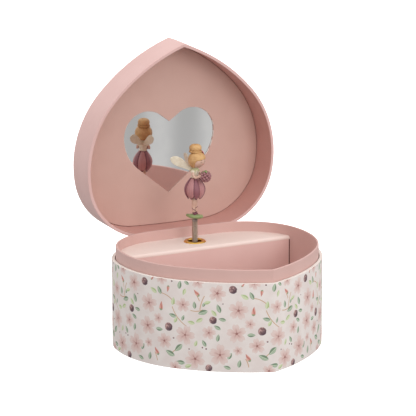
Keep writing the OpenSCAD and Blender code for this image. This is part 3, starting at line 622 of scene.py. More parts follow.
# Leaves: (along, up, half length, turn, paleness)
LEAVES = ((13.5, 56.3, 3.4, 115, 0), (29.5, 62, 3.4, 80, 0), (34.5, 64, 2.6, 140, 0), (40.5, 48, 3.0, 95, 0),
          (46.5, 43, 4.0, 200, 0), (58, 46.5, 3.6, 110, 0), (24, 39, 3.2, 165, 0), (13.5, 27.5, 3.2, 0, 0),
          (28.5, 15.5, 4.2, 225, 0), (22, 11, 4.2, 155, 0), (57, 32.5, 3.0, 150, 0), (57.5, 25, 3.0, 80, 0),
          (47.5, 20.5, 3.0, 120, 0), (60.5, 38.5, 3.0, 170, 0), (30, 5, 3.6, 175, 0), (5, 6.5, 3.2, 80, 0),
          (32, 38, 2.4, 70, 0), (47.5, 49, 2.2, 60, 0), (66, 12, 3.0, 60, 0), (8.5, 55.5, 3.4, 150, 1),
          (33, 57, 2.8, 250, 1), (24.5, 49.5, 3.2, 80, 1), (50, 50.5, 2.8, 20, 1), (26.5, 36, 2.6, 60, 1),
          (38, 35, 3.0, 170, 1), (44, 37, 3.2, 210, 1), (41.5, 20, 2.6, 70, 1), (54.5, 43, 3.0, 130, 1),
          (36, 3, 3.0, 20, 1), (64, 3.5, 3.0, 160, 0))
# Berries: (along, up, radius)
BERRIES = ((0.3, 60.5, 3.2), (21, 30.3, 3.3), (54, 37.8, 3.0), (51, 2.5, 2.8), (23.5, 64, 0.7),
           (24.8, 22.5, 0.7), (36.5, 15.5, 0.6), (46.3, 17.3, 0.65), (49, 16.5, 0.7), (61, 50, 0.5))
# Buds: (along, up, half length, turn)
BUDS = ((42, 57, 3.2, 130), (15, 45, 3.6, 85), (11, 11, 3.4, 120), (20.5, 58, 2.6, 260), (7.5, 64, 1.8, 45))
# Stems: (along, up, half length, turn, bow)
STEMS = ((20, 51, 7.0, -30, 0.25), (29, 39, 8.6, -52, -0.18), (42, 44.5, 4.6, 6, -0.2),
         (46.2, 50, 5.6, 72, 0.1), (26, 13, 5.0, 40, 0.1), (42.5, 54, 3.4, -60, 0.1),
         (10.5, 7, 3.4, -70, 0.1))


def motif(name, paint_motif):
    """Node group that paints one motif over the colour under it. Size scales the motif to a unit form."""
    group = bpy.data.node_groups.new(name, "ShaderNodeTree")
    sockets = (("Print", "Vector"), ("Under", "Color"), ("At", "Vector"),
               ("Turn", "Float"), ("Size", "Float"), ("Choice", "Float"))
    for socket, kind in sockets:
        group.interface.new_socket(name=socket, in_out="INPUT", socket_type="NodeSocket" + kind)
    group.interface.new_socket(name="Over", in_out="OUTPUT", socket_type="NodeSocketColor")
    g = Graph(group)
    given = g.add("NodeGroupInput").outputs
    # A vanishing share of the colour makes the motifs run one after another, which keeps the shader small
    after = g.vector("MULTIPLY_ADD", given["Under"], (1e-6, 1e-6, 1e-6), given["Print"])
    near = g.vector("WRAP", g.vector("SUBTRACT", after, given["At"]),
                    (TILE / 2, 500.0, 1.0), (-TILE / 2, -500.0, -1.0))
    turned = g.add("ShaderNodeVectorRotate", rotation_type="Z_AXIS", invert=True)
    g.put(turned.inputs["Vector"], near)
    g.put(turned.inputs["Angle"], given["Turn"])
    local = g.vector("DIVIDE", turned.outputs[0], given["Size"])
    mask, colour = paint_motif(g, local, given)
    g.put(g.add("NodeGroupOutput").inputs[0], g.mix(mask, given["Under"], colour))
    return group


# Each paint function gives its motif's mask and colour, drawn to a radius or half length of 1.

def paint_flower(g, local, given):
    wobble = g.noise(g.vector("ADD", local, given["At"]), 1.4, 2)
    x, y, _ = g.split(local)
    r = g.plus(g.vector("LENGTH", local), g.times(g.minus(wobble, 0.5), 0.22))
    angle = g.math("ARCTAN2", y, x)
    lobe = g.abs(g.math("COSINE", g.times(angle, 2.5)))
    reach = g.plus(0.42, g.times(g.math("POWER", lobe, 0.55), 0.64))
    reach = g.minus(reach, g.step(lobe, 0.93, 1.0, 0.0, 0.12))
    inside = g.step(g.minus(reach, r), 0.0, 0.10)
    veins = g.step(g.noise(g.combine(g.times(angle, 9.0), g.times(r, 1.3)), 2.0, 2), 0.45, 0.7)
    tone = g.mix(g.step(r, 0.15, 0.95), (220, 186, 178), (229, 208, 201))
    tone = g.mix(g.times(veins, g.step(r, 0.1, 0.9, 0.75, 0.2)), tone, (206, 164, 156))
    tone = g.mix(g.step(g.minus(reach, r), 0.14, 0.02, 0.0, 0.45), tone, (212, 178, 169))
    rays = g.times(g.step(lobe, 0.75, 1.0), g.step(r, 0.62, 0.1))
    tone = g.mix(g.times(rays, 0.7), tone, (172, 112, 106))
    tone = g.mix(g.step(r, 0.17, 0.08), tone, (150, 92, 84))
    return g.times(inside, 0.9), tone


def paint_leaf(g, local, given):
    x, y, _ = g.split(local)
    side = g.abs(y)
    round_off = g.minus(1.0, g.times(x, x))
    reach = g.times(round_off, g.math("MAXIMUM", g.minus(0.46, g.times(x, 0.14)), 0.1))
    inside = g.step(g.minus(reach, side), 0.0, 0.06)
    wash = g.noise(g.vector("ADD", local, given["At"]), 2.2, 2)
    dark = g.mix(given["Choice"], (110, 138, 108), (176, 194, 134))
    light = g.mix(given["Choice"], (172, 190, 162), (214, 221, 180))
    tone = g.mix(g.step(g.plus(y, g.times(wash, 0.5)), 0.1, 0.45), dark, light)
    ribs = g.step(g.sin(g.times(g.plus(x, side), 22.0)), 0.6, 1.0, 0.0, 0.35)
    tone = g.mix(ribs, tone, dark)
    tone = g.mix(g.step(g.minus(reach, side), 0.12, 0.03, 0.0, 0.6), tone, dark)
    tone = g.mix(g.step(side, 0.07, 0.02, 0.0, 0.8), tone, (222, 228, 208))
    return g.times(inside, 0.93), tone


def paint_berry(g, local, given):
    x, y, _ = g.split(local)
    cells = g.voronoi(g.vector("ADD", local, given["At"]), 2.6)
    edge = g.plus(g.vector("LENGTH", local), g.times(cells, 0.16))
    inside = g.step(edge, 1.04, 0.94)
    lit = g.step(g.minus(y, x), -1.0, 0.9)
    tone = g.mix(lit, (98, 82, 92), (206, 166, 160))
    tone = g.mix(g.step(cells, 0.3, 0.65, 0.0, 0.7), tone, (96, 68, 72))
    tone = g.mix(g.step(cells, 0.16, 0.05, 0.0, 0.7), tone, (224, 196, 192))
    return inside, tone


def paint_bud(g, local, given):
    x, y, _ = g.split(local)
    side = g.abs(y)
    round_off = g.math("POWER", g.math("MAXIMUM", g.minus(1.0, g.times(x, x)), 0.0), 0.6)
    reach = g.times(round_off, g.minus(0.40, g.times(x, 0.26)))
    inside = g.step(g.minus(reach, side), 0.0, 0.08)
    fold = g.abs(g.minus(y, g.times(g.sin(g.times(x, 3.0)), 0.12)))
    tone = g.mix(g.step(fold, 0.0, 0.3), (190, 104, 92), (228, 170, 156))
    tone = g.mix(g.step(x, -0.5, -0.75), tone, (140, 158, 118))
    return g.times(inside, 0.92), tone


def paint_stem(g, local, given):
    x, y, _ = g.split(local)
    curve = g.times(given["Choice"], g.minus(1.0, g.times(x, x)))
    off = g.times(g.abs(g.minus(y, curve)), given["Size"])
    inside = g.times(g.step(off, 0.38, 0.16), g.step(g.abs(x), 1.0, 0.94))
    return g.times(inside, 0.9), (196, 152, 104)


def floral_paper():
    """Off-white paper with a watercolour print of blossom, leaves and berries."""
    material, g = principled("floral_paper", Roughness=0.6, Specular_IOR_Level=0.35)
    uv = g.add("ShaderNodeUVMap", uv_map="print").outputs[0]
    clouds = g.noise(uv, 0.08, 3)
    colour = g.mix(g.step(clouds, 0.3, 0.7), (236, 227, 222), (229, 216, 211))
    groups = [motif(name, function) for name, function in (("stem", paint_stem), ("leaf", paint_leaf),
              ("flower", paint_flower), ("bud", paint_bud), ("berry", paint_berry))]
    rows = ([(0, x, y, size, turn, bow) for x, y, size, turn, bow in STEMS]
            + [(1, x, y, size, turn, pale) for x, y, size, turn, pale in LEAVES]
            + [(2, x, y, size, turn, 0) for x, y, size, turn in FLOWERS]
            + [(3, x, y, size, turn, 0) for x, y, size, turn in BUDS]
            + [(4, x, y, size, 0, 0) for x, y, size in BERRIES])
    for kind, x, y, size, turn, choice in rows:
        node = g.add("ShaderNodeGroup")
        node.node_tree = groups[kind]
        g.put(node.inputs["Print"], uv)
        g.put(node.inputs["Under"], colour)
        node.inputs["At"].default_value = (x + TILE_START, y, 0)
        node.inputs["Turn"].default_value = radians(turn)
        node.inputs["Size"].default_value = size
        node.inputs["Choice"].default_value = choice
        colour = node.outputs[0]
    g.set("Base Color", colour)
    fibres = g.noise(uv, 1.8, 4, 0.7)
    g.set("Normal", g.bump(fibres, 0.25, 0.02 * MM))
    return material


def mirror_silver():
    """Silvered glass, with the faintest haze."""
    material, g = principled("mirror", Metallic=1.0, Roughness=0.03)
    haze = g.noise(place_of(g), 0.08, 3)
    g.set("Base Color", g.mix(g.step(haze, 0.3, 0.7), (244, 243, 241), (241, 240, 239)))
    g.set("Roughness", g.step(haze, 0.2, 0.8, 0.015, 0.035))
    return material


def coil_steel():
    """Blued-grey spring wire, in upright streaks of lighter and darker grey."""
    material, g = principled("spring_steel", Metallic=1.0)
    at = place_of(g)
    marks = g.noise(g.vector("MULTIPLY", at, (4.0, 4.0, 1.0)), 2.0, 3)
    g.set("Base Color", g.mix(g.step(marks, 0.3, 0.7), (226, 214, 200), (186, 168, 150)))
    g.set("Roughness", g.step(marks, 0.2, 0.8, 0.24, 0.4))
    return material


M = {
    "floral": floral_paper(),
    "pink": paper("pink_paper", (214, 176, 168), (205, 164, 156)),
    "riser": riser_paper(),
    "lid": paper("lid_paper", (228, 190, 184), (219, 178, 171)),
    # Darker copy of the lid paper: painted shade for the lid's inside
    "lid_painted_shade": paper("lid_painted_shade_paper", (206, 156, 146), (197, 145, 135)),
    "deck": paper("deck_paper", (240, 220, 211), (233, 210, 200)),
    "lining": paper("lining_paper", (216, 180, 168), (207, 169, 156), roughness=0.7, grain=0.05),
    "board": board("greyboard", (186, 170, 150), (150, 134, 114)),
    "cut": board("cut_edge", (244, 238, 232), (226, 214, 204)),
    "gold": metal("gold_plate", (236, 190, 100), (190, 130, 50), roughness=0.16),
    "brass": metal("brass_satin", (214, 176, 104), (164, 122, 62), roughness=0.32, brushed=(1, 1, 6)),
    "steel": metal("steel_satin", (186, 184, 180), (140, 136, 130), 0.34, brushed=(6, 1, 1)),
    "spring": coil_steel(),
    "mirror": mirror_silver(),
    "leaf": paint("leaf_green_paint", (150, 164, 110), (104, 122, 70)),
    "skin": paint("skin_paint", (222, 186, 166), (198, 152, 134), fleck=0.15),
    "cream": paint("cream_paint", (238, 229, 208), (214, 198, 168), fleck=0.2),
    "bib": paint("pale_green_paint", (206, 206, 160), (166, 170, 116)),
    "plum": paint("plum_paint", (140, 84, 96), (98, 54, 66)),
    "hair": paint("hair_paint", (216, 172, 116), (170, 116, 66), blotch=0.3),
    "blossom": paint("blossom_paint", (226, 160, 168), (196, 112, 126)),
    "berry": berry_paint(),
    "ink": paint("face_ink", (110, 72, 58), (80, 50, 40)),
    "blush": paint("lip_paint", (206, 120, 112), (186, 96, 92)),
    "pink_petal": edged_paint("pink_petal_paint", (192, 136, 136), (116, 66, 76)),
    "plum_petal": edged_paint("plum_petal_paint", (152, 100, 108), (104, 60, 72)),
}


def finish_nodes(material, *names):
    """Gives CAD nodes a material in place of their plain colour."""
    for name in names:
        nodes[name].data.materials.clear()
        nodes[name].data.materials.append(M[material])


finish_nodes("board", "case_wall", "bottom_board", "lid_top_board", "mirror_spacer")
finish_nodes("lining", "tray_lining")
finish_nodes("deck", "deck_top")
finish_nodes("riser", "deck_front")
finish_nodes("gold", "eyelet")
finish_nodes("brass", "eyelet_washer", "hinge_body_leaves", "hinge_pins", "hinge_rivets",
             "hinge_lid_leaves", "lid_rivets", "key_escutcheon", "winding_key", "standoffs",
             "ratchet_wheel", "spring_barrel", "barrel_cover", "pinned_cylinder", "drive_pinion",
             "cylinder_gear", "governor_wheel", "air_brake")
finish_nodes("steel", "bedplate", "mounting_screws", "bearing_brackets", "governor_frame", "comb",
             "comb_base", "comb_screws", "click_spring", "winding_arbor", "mainspring", "tune_pins",
             "spindle", "worm_shaft", "swivel_plug")
finish_nodes("mirror", "mirror_glass")


# ---- Case ----

def make_case():
    edge = 0.35
    skin = rounded([(0, 0, 0.3), (0, BODY_H, edge), (WALL_IN, BODY_H, 0.3), (WALL_IN, BODY_H - WRAP_T, 0),
                    (WRAP_T, BODY_H - WRAP_T, 0), (WRAP_T, 0, 0)])
    wall = swept_wall("floral_paper_skin", skin)
    place(wall, "box", M["floral"], "floral_paper", "floral_wrap")
    wall.data.materials.append(M["cut"])
    for face in wall.data.polygons:
        if face.normal.z > 0.75:
            face.material_index = 1
    foot = 2.5      # height of the collar's foot
    liner = rounded([(COLLAR_OUT, foot, 0), (COLLAR_OUT, COLLAR_TOP, 0.6), (COLLAR_IN, COLLAR_TOP, 0.6),
                     (COLLAR_IN, foot, 0)])
    place(swept_wall("collar_covered", liner), "box", M["pink"], "pink_paper", "collar")


def make_lid():
    edge = 1.6       # radius of the top edge
    lap = 0.4        # how far the top's covering laps inside the wall's
    top_under, wall_shelf = LID_TOP - 2.4, LID_TOP - 2.45
    wall = rounded([(LID_OUT, LID_RIM, 0.45), (LID_OUT, LID_TOP - edge, 0),
                    (LID_OUT + lap, LID_TOP - edge, 0), (LID_OUT + lap, wall_shelf, 0),
                    (LID_IN, wall_shelf, 0), (LID_IN, LID_RIM, 0.45)])
    lid_wall = swept_wall("lid_wall_covered", wall, OPENED)
    place(lid_wall, "lid", M["lid"], "pink_paper", "lid_wall")
    # Faces turned into the lid get the darker copy of its paper: painted shade inside the lid
    lid_wall.data.materials.append(M["lid_painted_shade"])
    centre = lid_wall.matrix_world.inverted() @ ((OPENED @ Vector((0, 0, (LID_RIM + LID_TOP) / 2))) * MM)
    for face in lid_wall.data.polygons:
        toward = (centre - face.center).normalized()
        face.material_index = 1 if face.normal.dot(toward) > 0.5 else 0
    rings = [(outline(LID_OUT + lap)[:-1], top_under), (outline(LID_OUT)[:-1], LID_TOP - edge - 0.02)]
    for k in range(7):
        a = radians(90 * k / 6)
        rings.append((outline(LID_OUT + edge * (1 - cos(a)))[:-1], LID_TOP - edge * (1 - sin(a))))
    place(slab("lid_top_covered", rings, matrix=OPENED), "lid", M["lid"], "pink_paper", "lid_wrap")
    bevel = 0.25
    panel = [(outline(PANEL_INSET + bevel)[:-1], PANEL_Z), (outline(PANEL_INSET)[:-1], PANEL_Z + bevel),
             (outline(PANEL_INSET)[:-1], PANEL_TOP)]
    opening = heart(HEART_W, HEART_TIP)
    hole = [(heart(HEART_W + 2 * bevel, HEART_TIP - bevel), PANEL_Z), (opening, PANEL_Z + bevel),
            (opening, PANEL_TOP)]
    heart_panel = slab("heart_panel", panel, [hole], OPENED)
    place(heart_panel, "lid", M["lining"], "lining_paper", "lid_lining")
    # The heart's cut edge shows the pale card
    heart_panel.data.materials.append(M["cut"])
    closed = OPENED.inverted()
    level = (OPENED.to_3x3() @ Vector((0, 0, 1))).normalized()
    for face in heart_panel.data.polygons:
        at = closed @ (heart_panel.matrix_world @ face.center / MM)
        from_rim = min((at.to_2d() - p).length for p in opening[::6])
        if from_rim < 2 and abs(face.normal.dot(level)) < 0.95:     # near the hole, and not level
            face.material_index = 1


make_case()
make_lid()


# ---- Figure ----
# Its pieces are drawn facing -Y, with their origin at the leaf's underside, then turned into place.

def profile_at(table, t):
    """Value of the smooth curve through the rows (t, value) of a short table."""
    last = len(table) - 1

    def slope(i):
        (t0, a), (t1, b) = table[max(i - 1, 0)], table[min(i + 1, last)]
        return (b - a) / (t1 - t0)

    i = 0
    while i < last - 1 and t > table[i + 1][0]:
        i += 1
    (t0, a), (t1, b) = table[i], table[i + 1]
    span = t1 - t0
    f = min(max((t - t0) / span, 0), 1)
    return (a * (1 + 2 * f) * (1 - f) ** 2 + b * f * f * (3 - 2 * f)
            + span * (slope(i) * f * (1 - f) ** 2 - slope(i + 1) * f * f * (1 - f)))


def make_spring():
    """Close-wound coil, from the eyelet's hole to the plug under the figure."""
    wire = 0.6
    radius = (high("flex_spring", 0) - low("flex_spring", 0)) / 2 - wire / 2
    start, end = low("flex_spring", 2) + wire / 2, high("flex_spring", 2) - wire / 2
    turns = round((end - start) / wire)
    per_turn = 20
    path = []
    for k in range(turns * per_turn + 1):
        a = tau * k / per_turn
        rise = (end - start) * k / (turns * per_turn)
        path.append((radius * cos(a), POST_Y + radius * sin(a), start + rise))
    spring = tube("coil_spring", path, wire / 2, around=7)
    spring.data.materials.append(M["spring"])
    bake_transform(spring)
    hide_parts("flex_spring")


def make_leaf_base():
    radius, thick, middle_z = 6.3, 1.5, 2.1

    def shape(d):
        a = atan2(d.x, -d.y)
        flat = hypot(d.x, d.y)
        reach = radius * (1 + 0.05 * cos(2 * a) + 0.03 * cos(5 * a + 1))
        x, y = reach * d.x, reach * d.y
        z = thick * d.z * (1 + 0.15 * cos(3 * a))
        roll = exp(-((flat - 0.84) / 0.2) ** 2)
        if d.z > 0:
            z += 0.75 * roll * (1 - 0.35 * sin(a - 0.6)) - 0.9 * smoothstep(0.75, 0.3, flat)
            z -= 0.20 * exp(-(x / 0.4) ** 2)
            z -= 0.12 * (0.5 + 0.5 * cos(3.2 * (abs(x) * 0.8 - y)))
        z += 0.25 * sin(2 * a + 0.8) * flat ** 2 - 0.13 * x
        return Vector((x, y, z + middle_z))

    place(globe("leaf_base_curled", shape, FIGURE), "figure", M["leaf"], "leaf_green", "leaf_base")


# Heights and places of the figure's parts, in its own frame
LEG_X = 1.25
SHOE_Z = 3.7
SKIRT_LOW, SKIRT_HIGH = 15.5, 31.9
NECK_Z = 38.8
HEAD = Vector((0, -2.2, 45.1))
HEAD_R = 5.75


def make_legs():
    shoes, legs, ribbons = [], [], []
    for side in (-1, 1):
        x = side * LEG_X
        calf = ((0.0, 1.2), (0.3, 1.25), (0.62, 1.55), (0.85, 1.45), (1.0, 1.55))
        sections = []
        for k in range(9):
            t = k / 8
            r = profile_at(calf, t)
            z = SHOE_Z + 1.2 + (SKIRT_LOW + 2.2 - SHOE_Z - 1.2) * t
            sections.append(((x, 0.25 * sin(pi * t), z), (r, 0, 0), (0, r, 0)))
        legs.append(loft("leg", sections, FIGURE, 12))
        foot = [((x, 0.9, SHOE_Z + 0.9), (0.55, 0, 0), (0, 0.1, 0.7)),
                ((x, 0.5, SHOE_Z + 1.0), (1.0, 0, 0), (0, 0.15, 1.1)),
                ((x, -0.4, SHOE_Z + 0.75), (1.08, 0, 0), (0, 0, 0.95)),
                ((x * 1.05, -1.3, SHOE_Z + 0.5), (0.9, 0, 0), (0, 0, 0.7)),
                ((x * 1.1, -1.9, SHOE_Z + 0.4), (0.45, 0, 0), (0, 0, 0.4))]
        shoes.append(loft("shoe", foot, FIGURE, 12))
        cuff = [((x, 0, SHOE_Z + 1.2 + 0.55 * k), (1.12 + 0.05 * sin(k * 2.0), 0, 0),
                 (0, 1.12 + 0.05 * sin(k * 2.0), 0)) for k in range(4)]
        shoes.append(loft("cuff", cuff, FIGURE, 14))
        wound = [(x + 1.2 * cos(side * k / 8), 1.2 * sin(side * k / 8) + 0.1,
                  SHOE_Z + 2.6 + 0.075 * k) for k in range(44)]
        ribbons.append(tube("ribbon", wound, 0.26, FIGURE, 6))
    place(join("legs_painted", legs), "figure", M["skin"], "skin_paint", "legs")
    place(join("shoes_painted", shoes + ribbons), "figure", M["plum"], "plum_paint", "shoes")


def petal(name, angle, spread, out, long):
    """One tulip petal. spread is its half angle in degrees, out moves it outwards, long drops its tip."""
    across, down = 10, 14
    radius = ((0.0, 2.7), (0.2, 5.1), (0.5, 7.1), (0.8, 6.5), (1.0, 4.6))
    width = ((0.0, 0.8), (0.35, 1.0), (0.75, 0.98), (0.92, 0.8), (1.0, 0.42))
    verts = []
    for j in range(down + 1):
        t = j / down
        for i in range(across + 1):
            u = 2 * i / across - 1
            a = radians(angle + spread * u * profile_at(width, t))
            crown = 0.55 * (1 - u * u) * sin(pi * min(t * 1.1, 1))
            fold = -0.22 * exp(-(u / 0.13) ** 2) * sin(pi * t)
            r = profile_at(radius, t) + out + crown + fold - 0.3 * abs(u) ** 3
            z = SKIRT_HIGH - (SKIRT_HIGH - SKIRT_LOW + long) * t + 0.9 * u * u * t ** 3
            verts.append((r * sin(a), -r * cos(a), z))
    faces = grid(across, down)
    uvs = [[(2 * (k % (across + 1)) / across - 1, k // (across + 1) / down) for k in face] for face in faces]
    obj = mesh_object(name, verts, faces, FIGURE, uvs, crease=0)
    return thickened(obj, 0.75)


def make_skirt():
    """Four broad pink petals and four narrower plum ones over them."""
    pink = [petal("pink", 90 * k, 37, 0.0, 0.0) for k in range(4)]
    plum = [petal("plum", 45 + 90 * k, 20, 0.35, 0.2) for k in range(4)]
    place(join("pink_petals_painted", pink), "figure", M["pink_petal"], "pink_paint", "pink_petals")
    place(join("plum_petals_painted", plum), "figure", M["plum_petal"], "plum_paint", "plum_petals")
    lining = [((0, 0, SKIRT_HIGH - h), (r, 0, 0), (0, r, 0)) for h, r in
              ((0.2, 2.6), (2.4, 4.6), (6, 6.6), (9.5, 6.4), (11, 4.0), (11.3, 1.5))]
    place(loft("skirt_lining", lining[::-1], FIGURE, 24), "figure", M["plum"], "plum_paint")


def make_body():
    trunk = ((0.0, 2.7), (0.2, 2.75), (0.5, 3.35), (0.72, 3.1), (0.88, 1.7), (1.0, 1.45))
    sections = []
    for k in range(11):
        t = k / 10
        r = profile_at(trunk, t)
        z = SKIRT_HIGH - 0.6 + (NECK_Z + 1.4 - SKIRT_HIGH + 0.6) * t
        sections.append(((0, -0.25 * t, z), (r, 0, 0), (0, r * 0.84, 0)))
    bodice = loft("bodice_cream", sections, FIGURE, 20)
    sash = []
    for k in range(37):
        a = tau * k / 36
        sash.append((2.85 * sin(a), -2.45 * cos(a), SKIRT_HIGH + 0.3 + 0.08 * sin(7 * a)))
    sleeves = []
    for side in (-1, 1):
        def puff(d, side=side):
            a = atan2(d.z, d.y)
            r = 1.75 * (1 + 0.06 * cos(9 * a))
            return Vector((side * 3.15 + 1.45 * d.x, -0.35 + r * d.y, NECK_Z - 2.2 + 1.5 * d.z))
        sleeves.append(globe("sleeve", puff, FIGURE, 36, 18))
    body = join("bodice_painted", [bodice, tube("sash", sash, 0.35, FIGURE, 8)] + sleeves)
    place(body, "figure", M["cream"], "cream_paint", "bodice")
    leaves = []
    for turn in all_round(7):
        verts = []
        for j in range(7):
            t = j / 6
            half = 1.25 * sin(pi * (0.16 + 0.84 * t)) ** 0.8 * (1 - 0.2 * t)
            for i in range(5):
                u = i / 2 - 1
                a = turn + half * u / (1.6 + 2.2 * t)
                r = 1.55 + 2.5 * t ** 0.8 + 0.12 * (1 - u * u)
                z = NECK_Z + 0.35 - 2.9 * t ** 1.3 - 0.15 * abs(u) + 0.1
                verts.append((r * sin(a), -r * 0.9 * cos(a) - 0.2, z))
        leaf = mesh_object("bib", verts, grid(4, 6), FIGURE, crease=0)
        leaves.append(thickened(leaf, 0.35))
    place(join("leaf_bib_painted", leaves), "figure", M["bib"], "pale_green_paint", "leaf_bib")


BERRY = Vector((0, -9.4, 33.4))
BERRY_R = 4.5


def make_arms():
    arms = []
    for side in (-1, 1):
        points = [Vector((side * 3.5, -0.6, NECK_Z - 2.4)), Vector((side * 4.35, -1.6, NECK_Z - 4.6)),
                  Vector((side * 4.5, -3.4, NECK_Z - 6.0)), Vector((side * 3.9, -5.4, NECK_Z - 5.4)),
                  Vector((side * 3.3, -6.6, NECK_Z - 4.9))]
        path = []
        for k in range(17):
            t = k / 16 * 4
            i = min(int(t), 3)
            f = t - i
            before, after = points[max(i - 1, 0)], points[min(i + 2, 4)]
            a, b = points[i], points[i + 1]
            path.append(0.5 * (2 * a + (b - before) * f + (2 * before - 5 * a + 4 * b - after) * f * f
                               + (3 * a - before - 3 * b + after) * f ** 3))
        arms.append(tube("arm", path, 1.05, FIGURE, 12, lambda t: 1.08 - 0.3 * t))
        hand = points[-1]

        def palm(d, hand=hand, side=side):
            fingers = 0.12 * cos(9 * atan2(d.z, d.x)) * max(-d.y, 0)
            return hand + Vector((0.75 * d.x - side * 0.2, 1.15 * d.y - 0.2, 1.05 * d.z * (1 + fingers)))
        arms.append(globe("hand", palm, FIGURE, 30, 16))
        for f in range(4):
            start = hand + Vector((-side * 0.2, -0.5, 0.7 - 0.45 * f))
            finger = [start, start + Vector((-side * 0.35, -0.7, 0)), start + Vector((-side * 0.95, -1.1, 0))]
            arms.append(tube("finger", finger, 0.23, FIGURE, 8, lambda t: 1 - 0.25 * t))
    place(join("arms_painted", arms), "figure", M["skin"], "skin_paint", "arms")


def make_berry():
    lobes = []
    count = 40
    for k in range(count):
        z = 1 - 2 * (k + 0.5) / count
        a = pi * (3 - sqrt(5)) * k
        flat = sqrt(1 - z * z)
        d = Vector((flat * cos(a), flat * sin(a), z))
        centre = BERRY + Vector((d.x, d.y, d.z * 1.08)) * (BERRY_R - 1.15) * (1 - 0.14 * max(-d.z, 0))
        lobes.append(globe("lobe", lambda p, c=centre, o=d: c + 1.12 * p + 0.1 * o, FIGURE, 16, 10))
    place(join("berry_lobed", lobes), "figure", M["berry"], "berry_paint", "berry")
    leaves = []
    top = BERRY + Vector((0, 0, BERRY_R - 0.35))
    for k in range(5):
        turn = tau * k / 5 + 0.3
        out = Vector((cos(turn), sin(turn), 0))
        side = Vector((-out.y, out.x, 0))
        sections = []
        for j in range(6):
            t = j / 5
            half = 0.15 + 0.85 * sin(pi * min(0.15 + 0.85 * t, 0.97))
            sections.append((top + out * (2.9 * t) + Vector((0, 0, 0.35 - 1.15 * t * t)), side * half,
                             Vector((0, 0, 0.22 + 0.05 * cos(5 * t)))))
        leaves.append(loft("sepal", sections, FIGURE, 8))
    stalk = [top + Vector((0, 0.1 * k, 0.3 * k)) for k in range(4)]
    leaves.append(tube("stalk", stalk, 0.35, FIGURE, 8))
    place(join("berry_leaf_painted", leaves), "figure", M["leaf"], "leaf_green", "berry_leaf")


def on_head(turn, lift, out=1.0):
    """A point on the head, turn degrees from straight ahead and lift degrees up."""
    a, e = radians(turn), radians(lift)
    return HEAD + HEAD_R * out * Vector((sin(a) * cos(e), -cos(a) * cos(e), sin(e)))


def make_head():
    def skull(d):
        cheek = 0.05 * exp(-((abs(d.x) - 0.55) ** 2 + (d.z + 0.35) ** 2) / 0.08)
        cheek *= smoothstep(0.2, -0.6, d.y)
        chin = 0.04 * exp(-(d.x ** 2 + (d.z + 0.8) ** 2) / 0.05)
        nose = 0.075 * exp(-(d.x ** 2 + (d.z + 0.18) ** 2) / 0.008) * (d.y < 0)
        r = HEAD_R * (1 + cheek + chin + nose)
        return HEAD + Vector((r * d.x * 1.02, r * d.y * 0.97, r * d.z * (0.97 if d.z < 0 else 1.0)))
    place(globe("head_painted", skull, FIGURE, 64, 40), "figure", M["skin"], "skin_paint", "head")
    marks = []
    for side in (-1, 1):
        lid = [on_head(side * 24 + 8 * cos(a), -6 - 4 * sin(a), 1.0)
               for a in [pi * k / 10 for k in range(11)]]
        marks.append(tube("eyelid", lid, 0.13, FIGURE, 6, lambda t: 0.5 + 0.7 * sin(pi * t)))
        brow = [on_head(side * (18 + 1.5 * k), 6 + 2 * sin(pi * k / 8), 1.0) for k in range(9)]
        marks.append(tube("brow", brow, 0.09, FIGURE, 6, lambda t: 0.5 + 0.6 * sin(pi * t)))
    place(join("eyes_painted", marks), "figure", M["ink"], "hair_paint")
    smile = [on_head(-8 + 2 * k, -27 - 2.5 * sin(pi * k / 8), 1.005) for k in range(9)]
    lips = tube("mouth_painted", smile, 0.17, FIGURE, 6, lambda t: 0.4 + 0.8 * sin(pi * t))
    place(lips, "figure", M["blush"], "blossom_paint")


def make_hair():
    def cap(d):
        around = abs(degrees(atan2(d.x, -d.y)))
        strands = atan2(d.x, d.z + 0.4)
        fringe = 0.10 + 0.05 * cos(4 * d.x) - 0.98 * smoothstep(52, 96, around)
        covered = smoothstep(fringe - 0.04, fringe + 0.08, d.z)
        grooves = 0.16 * abs(sin(15 * strands + 2.2 * d.y))
        grooves += 0.09 * abs(sin(37 * strands + 3 * d.y))
        lift = -0.55 + covered * (1.25 + grooves)
        shift = Vector((0, 0.35 * covered, 0.15 * covered))
        return HEAD + Vector((d.x * 1.02, d.y * 0.98, d.z)) * (HEAD_R + lift) + shift

    parts = [globe("cap", cap, FIGURE, 150, 80)]
    bun = HEAD + Vector((0, 1.6, 8.9))

    def knot(d):
        a = atan2(d.y, d.x)
        swirl = 0.14 * abs(sin(4.5 * a + 5.0 * d.z)) + 0.05 * abs(sin(13 * a + 9 * d.z))
        flat = hypot(d.x, d.y) ** 0.75
        ratio = flat / max(hypot(d.x, d.y), 1e-6)
        return bun + Vector((d.x * ratio * (4.45 + swirl), d.y * ratio * (4.45 + swirl), d.z * (2.9 + swirl)))

    parts.append(globe("bun", knot, FIGURE, 110, 44))
    for strand in range(2):
        band = []
        for k in range(73):
            a = tau * k / 72
            twist = 9 * a + pi * strand
            r = 4.0 + 0.42 * cos(twist)
            band.append(bun + Vector((r * cos(a), r * sin(a), -2.45 + 0.42 * sin(twist))))
        parts.append(tube("plait", band, 0.5, FIGURE, 8))
    place(join("hair_painted", parts), "figure", M["hair"], "hair_paint", "hair")

    petals = []
    centre = HEAD + Vector((3.4, -2.6, 5.6))
    out = Vector((0.72, -0.5, 0.48)).normalized()
    side = out.orthogonal().normalized()
    up = out.cross(side)
    for a in all_round(5):
        ray = side * cos(a) + up * sin(a)
        across = out.cross(ray)

        def lobe(d, ray=ray, across=across):
            return centre + ray * (1.05 + 0.85 * d.x) + across * (0.72 * d.y) + out * (0.3 * d.z + 0.12 * d.x)
        petals.append(globe("petal", lobe, FIGURE, 16, 10))
    petals.append(globe("eye", lambda d: centre + out * 0.25 + 0.45 * d, FIGURE, 14, 9))
    place(join("hair_flower_painted", petals), "figure", M["blossom"], "blossom_paint", "hair_flower")


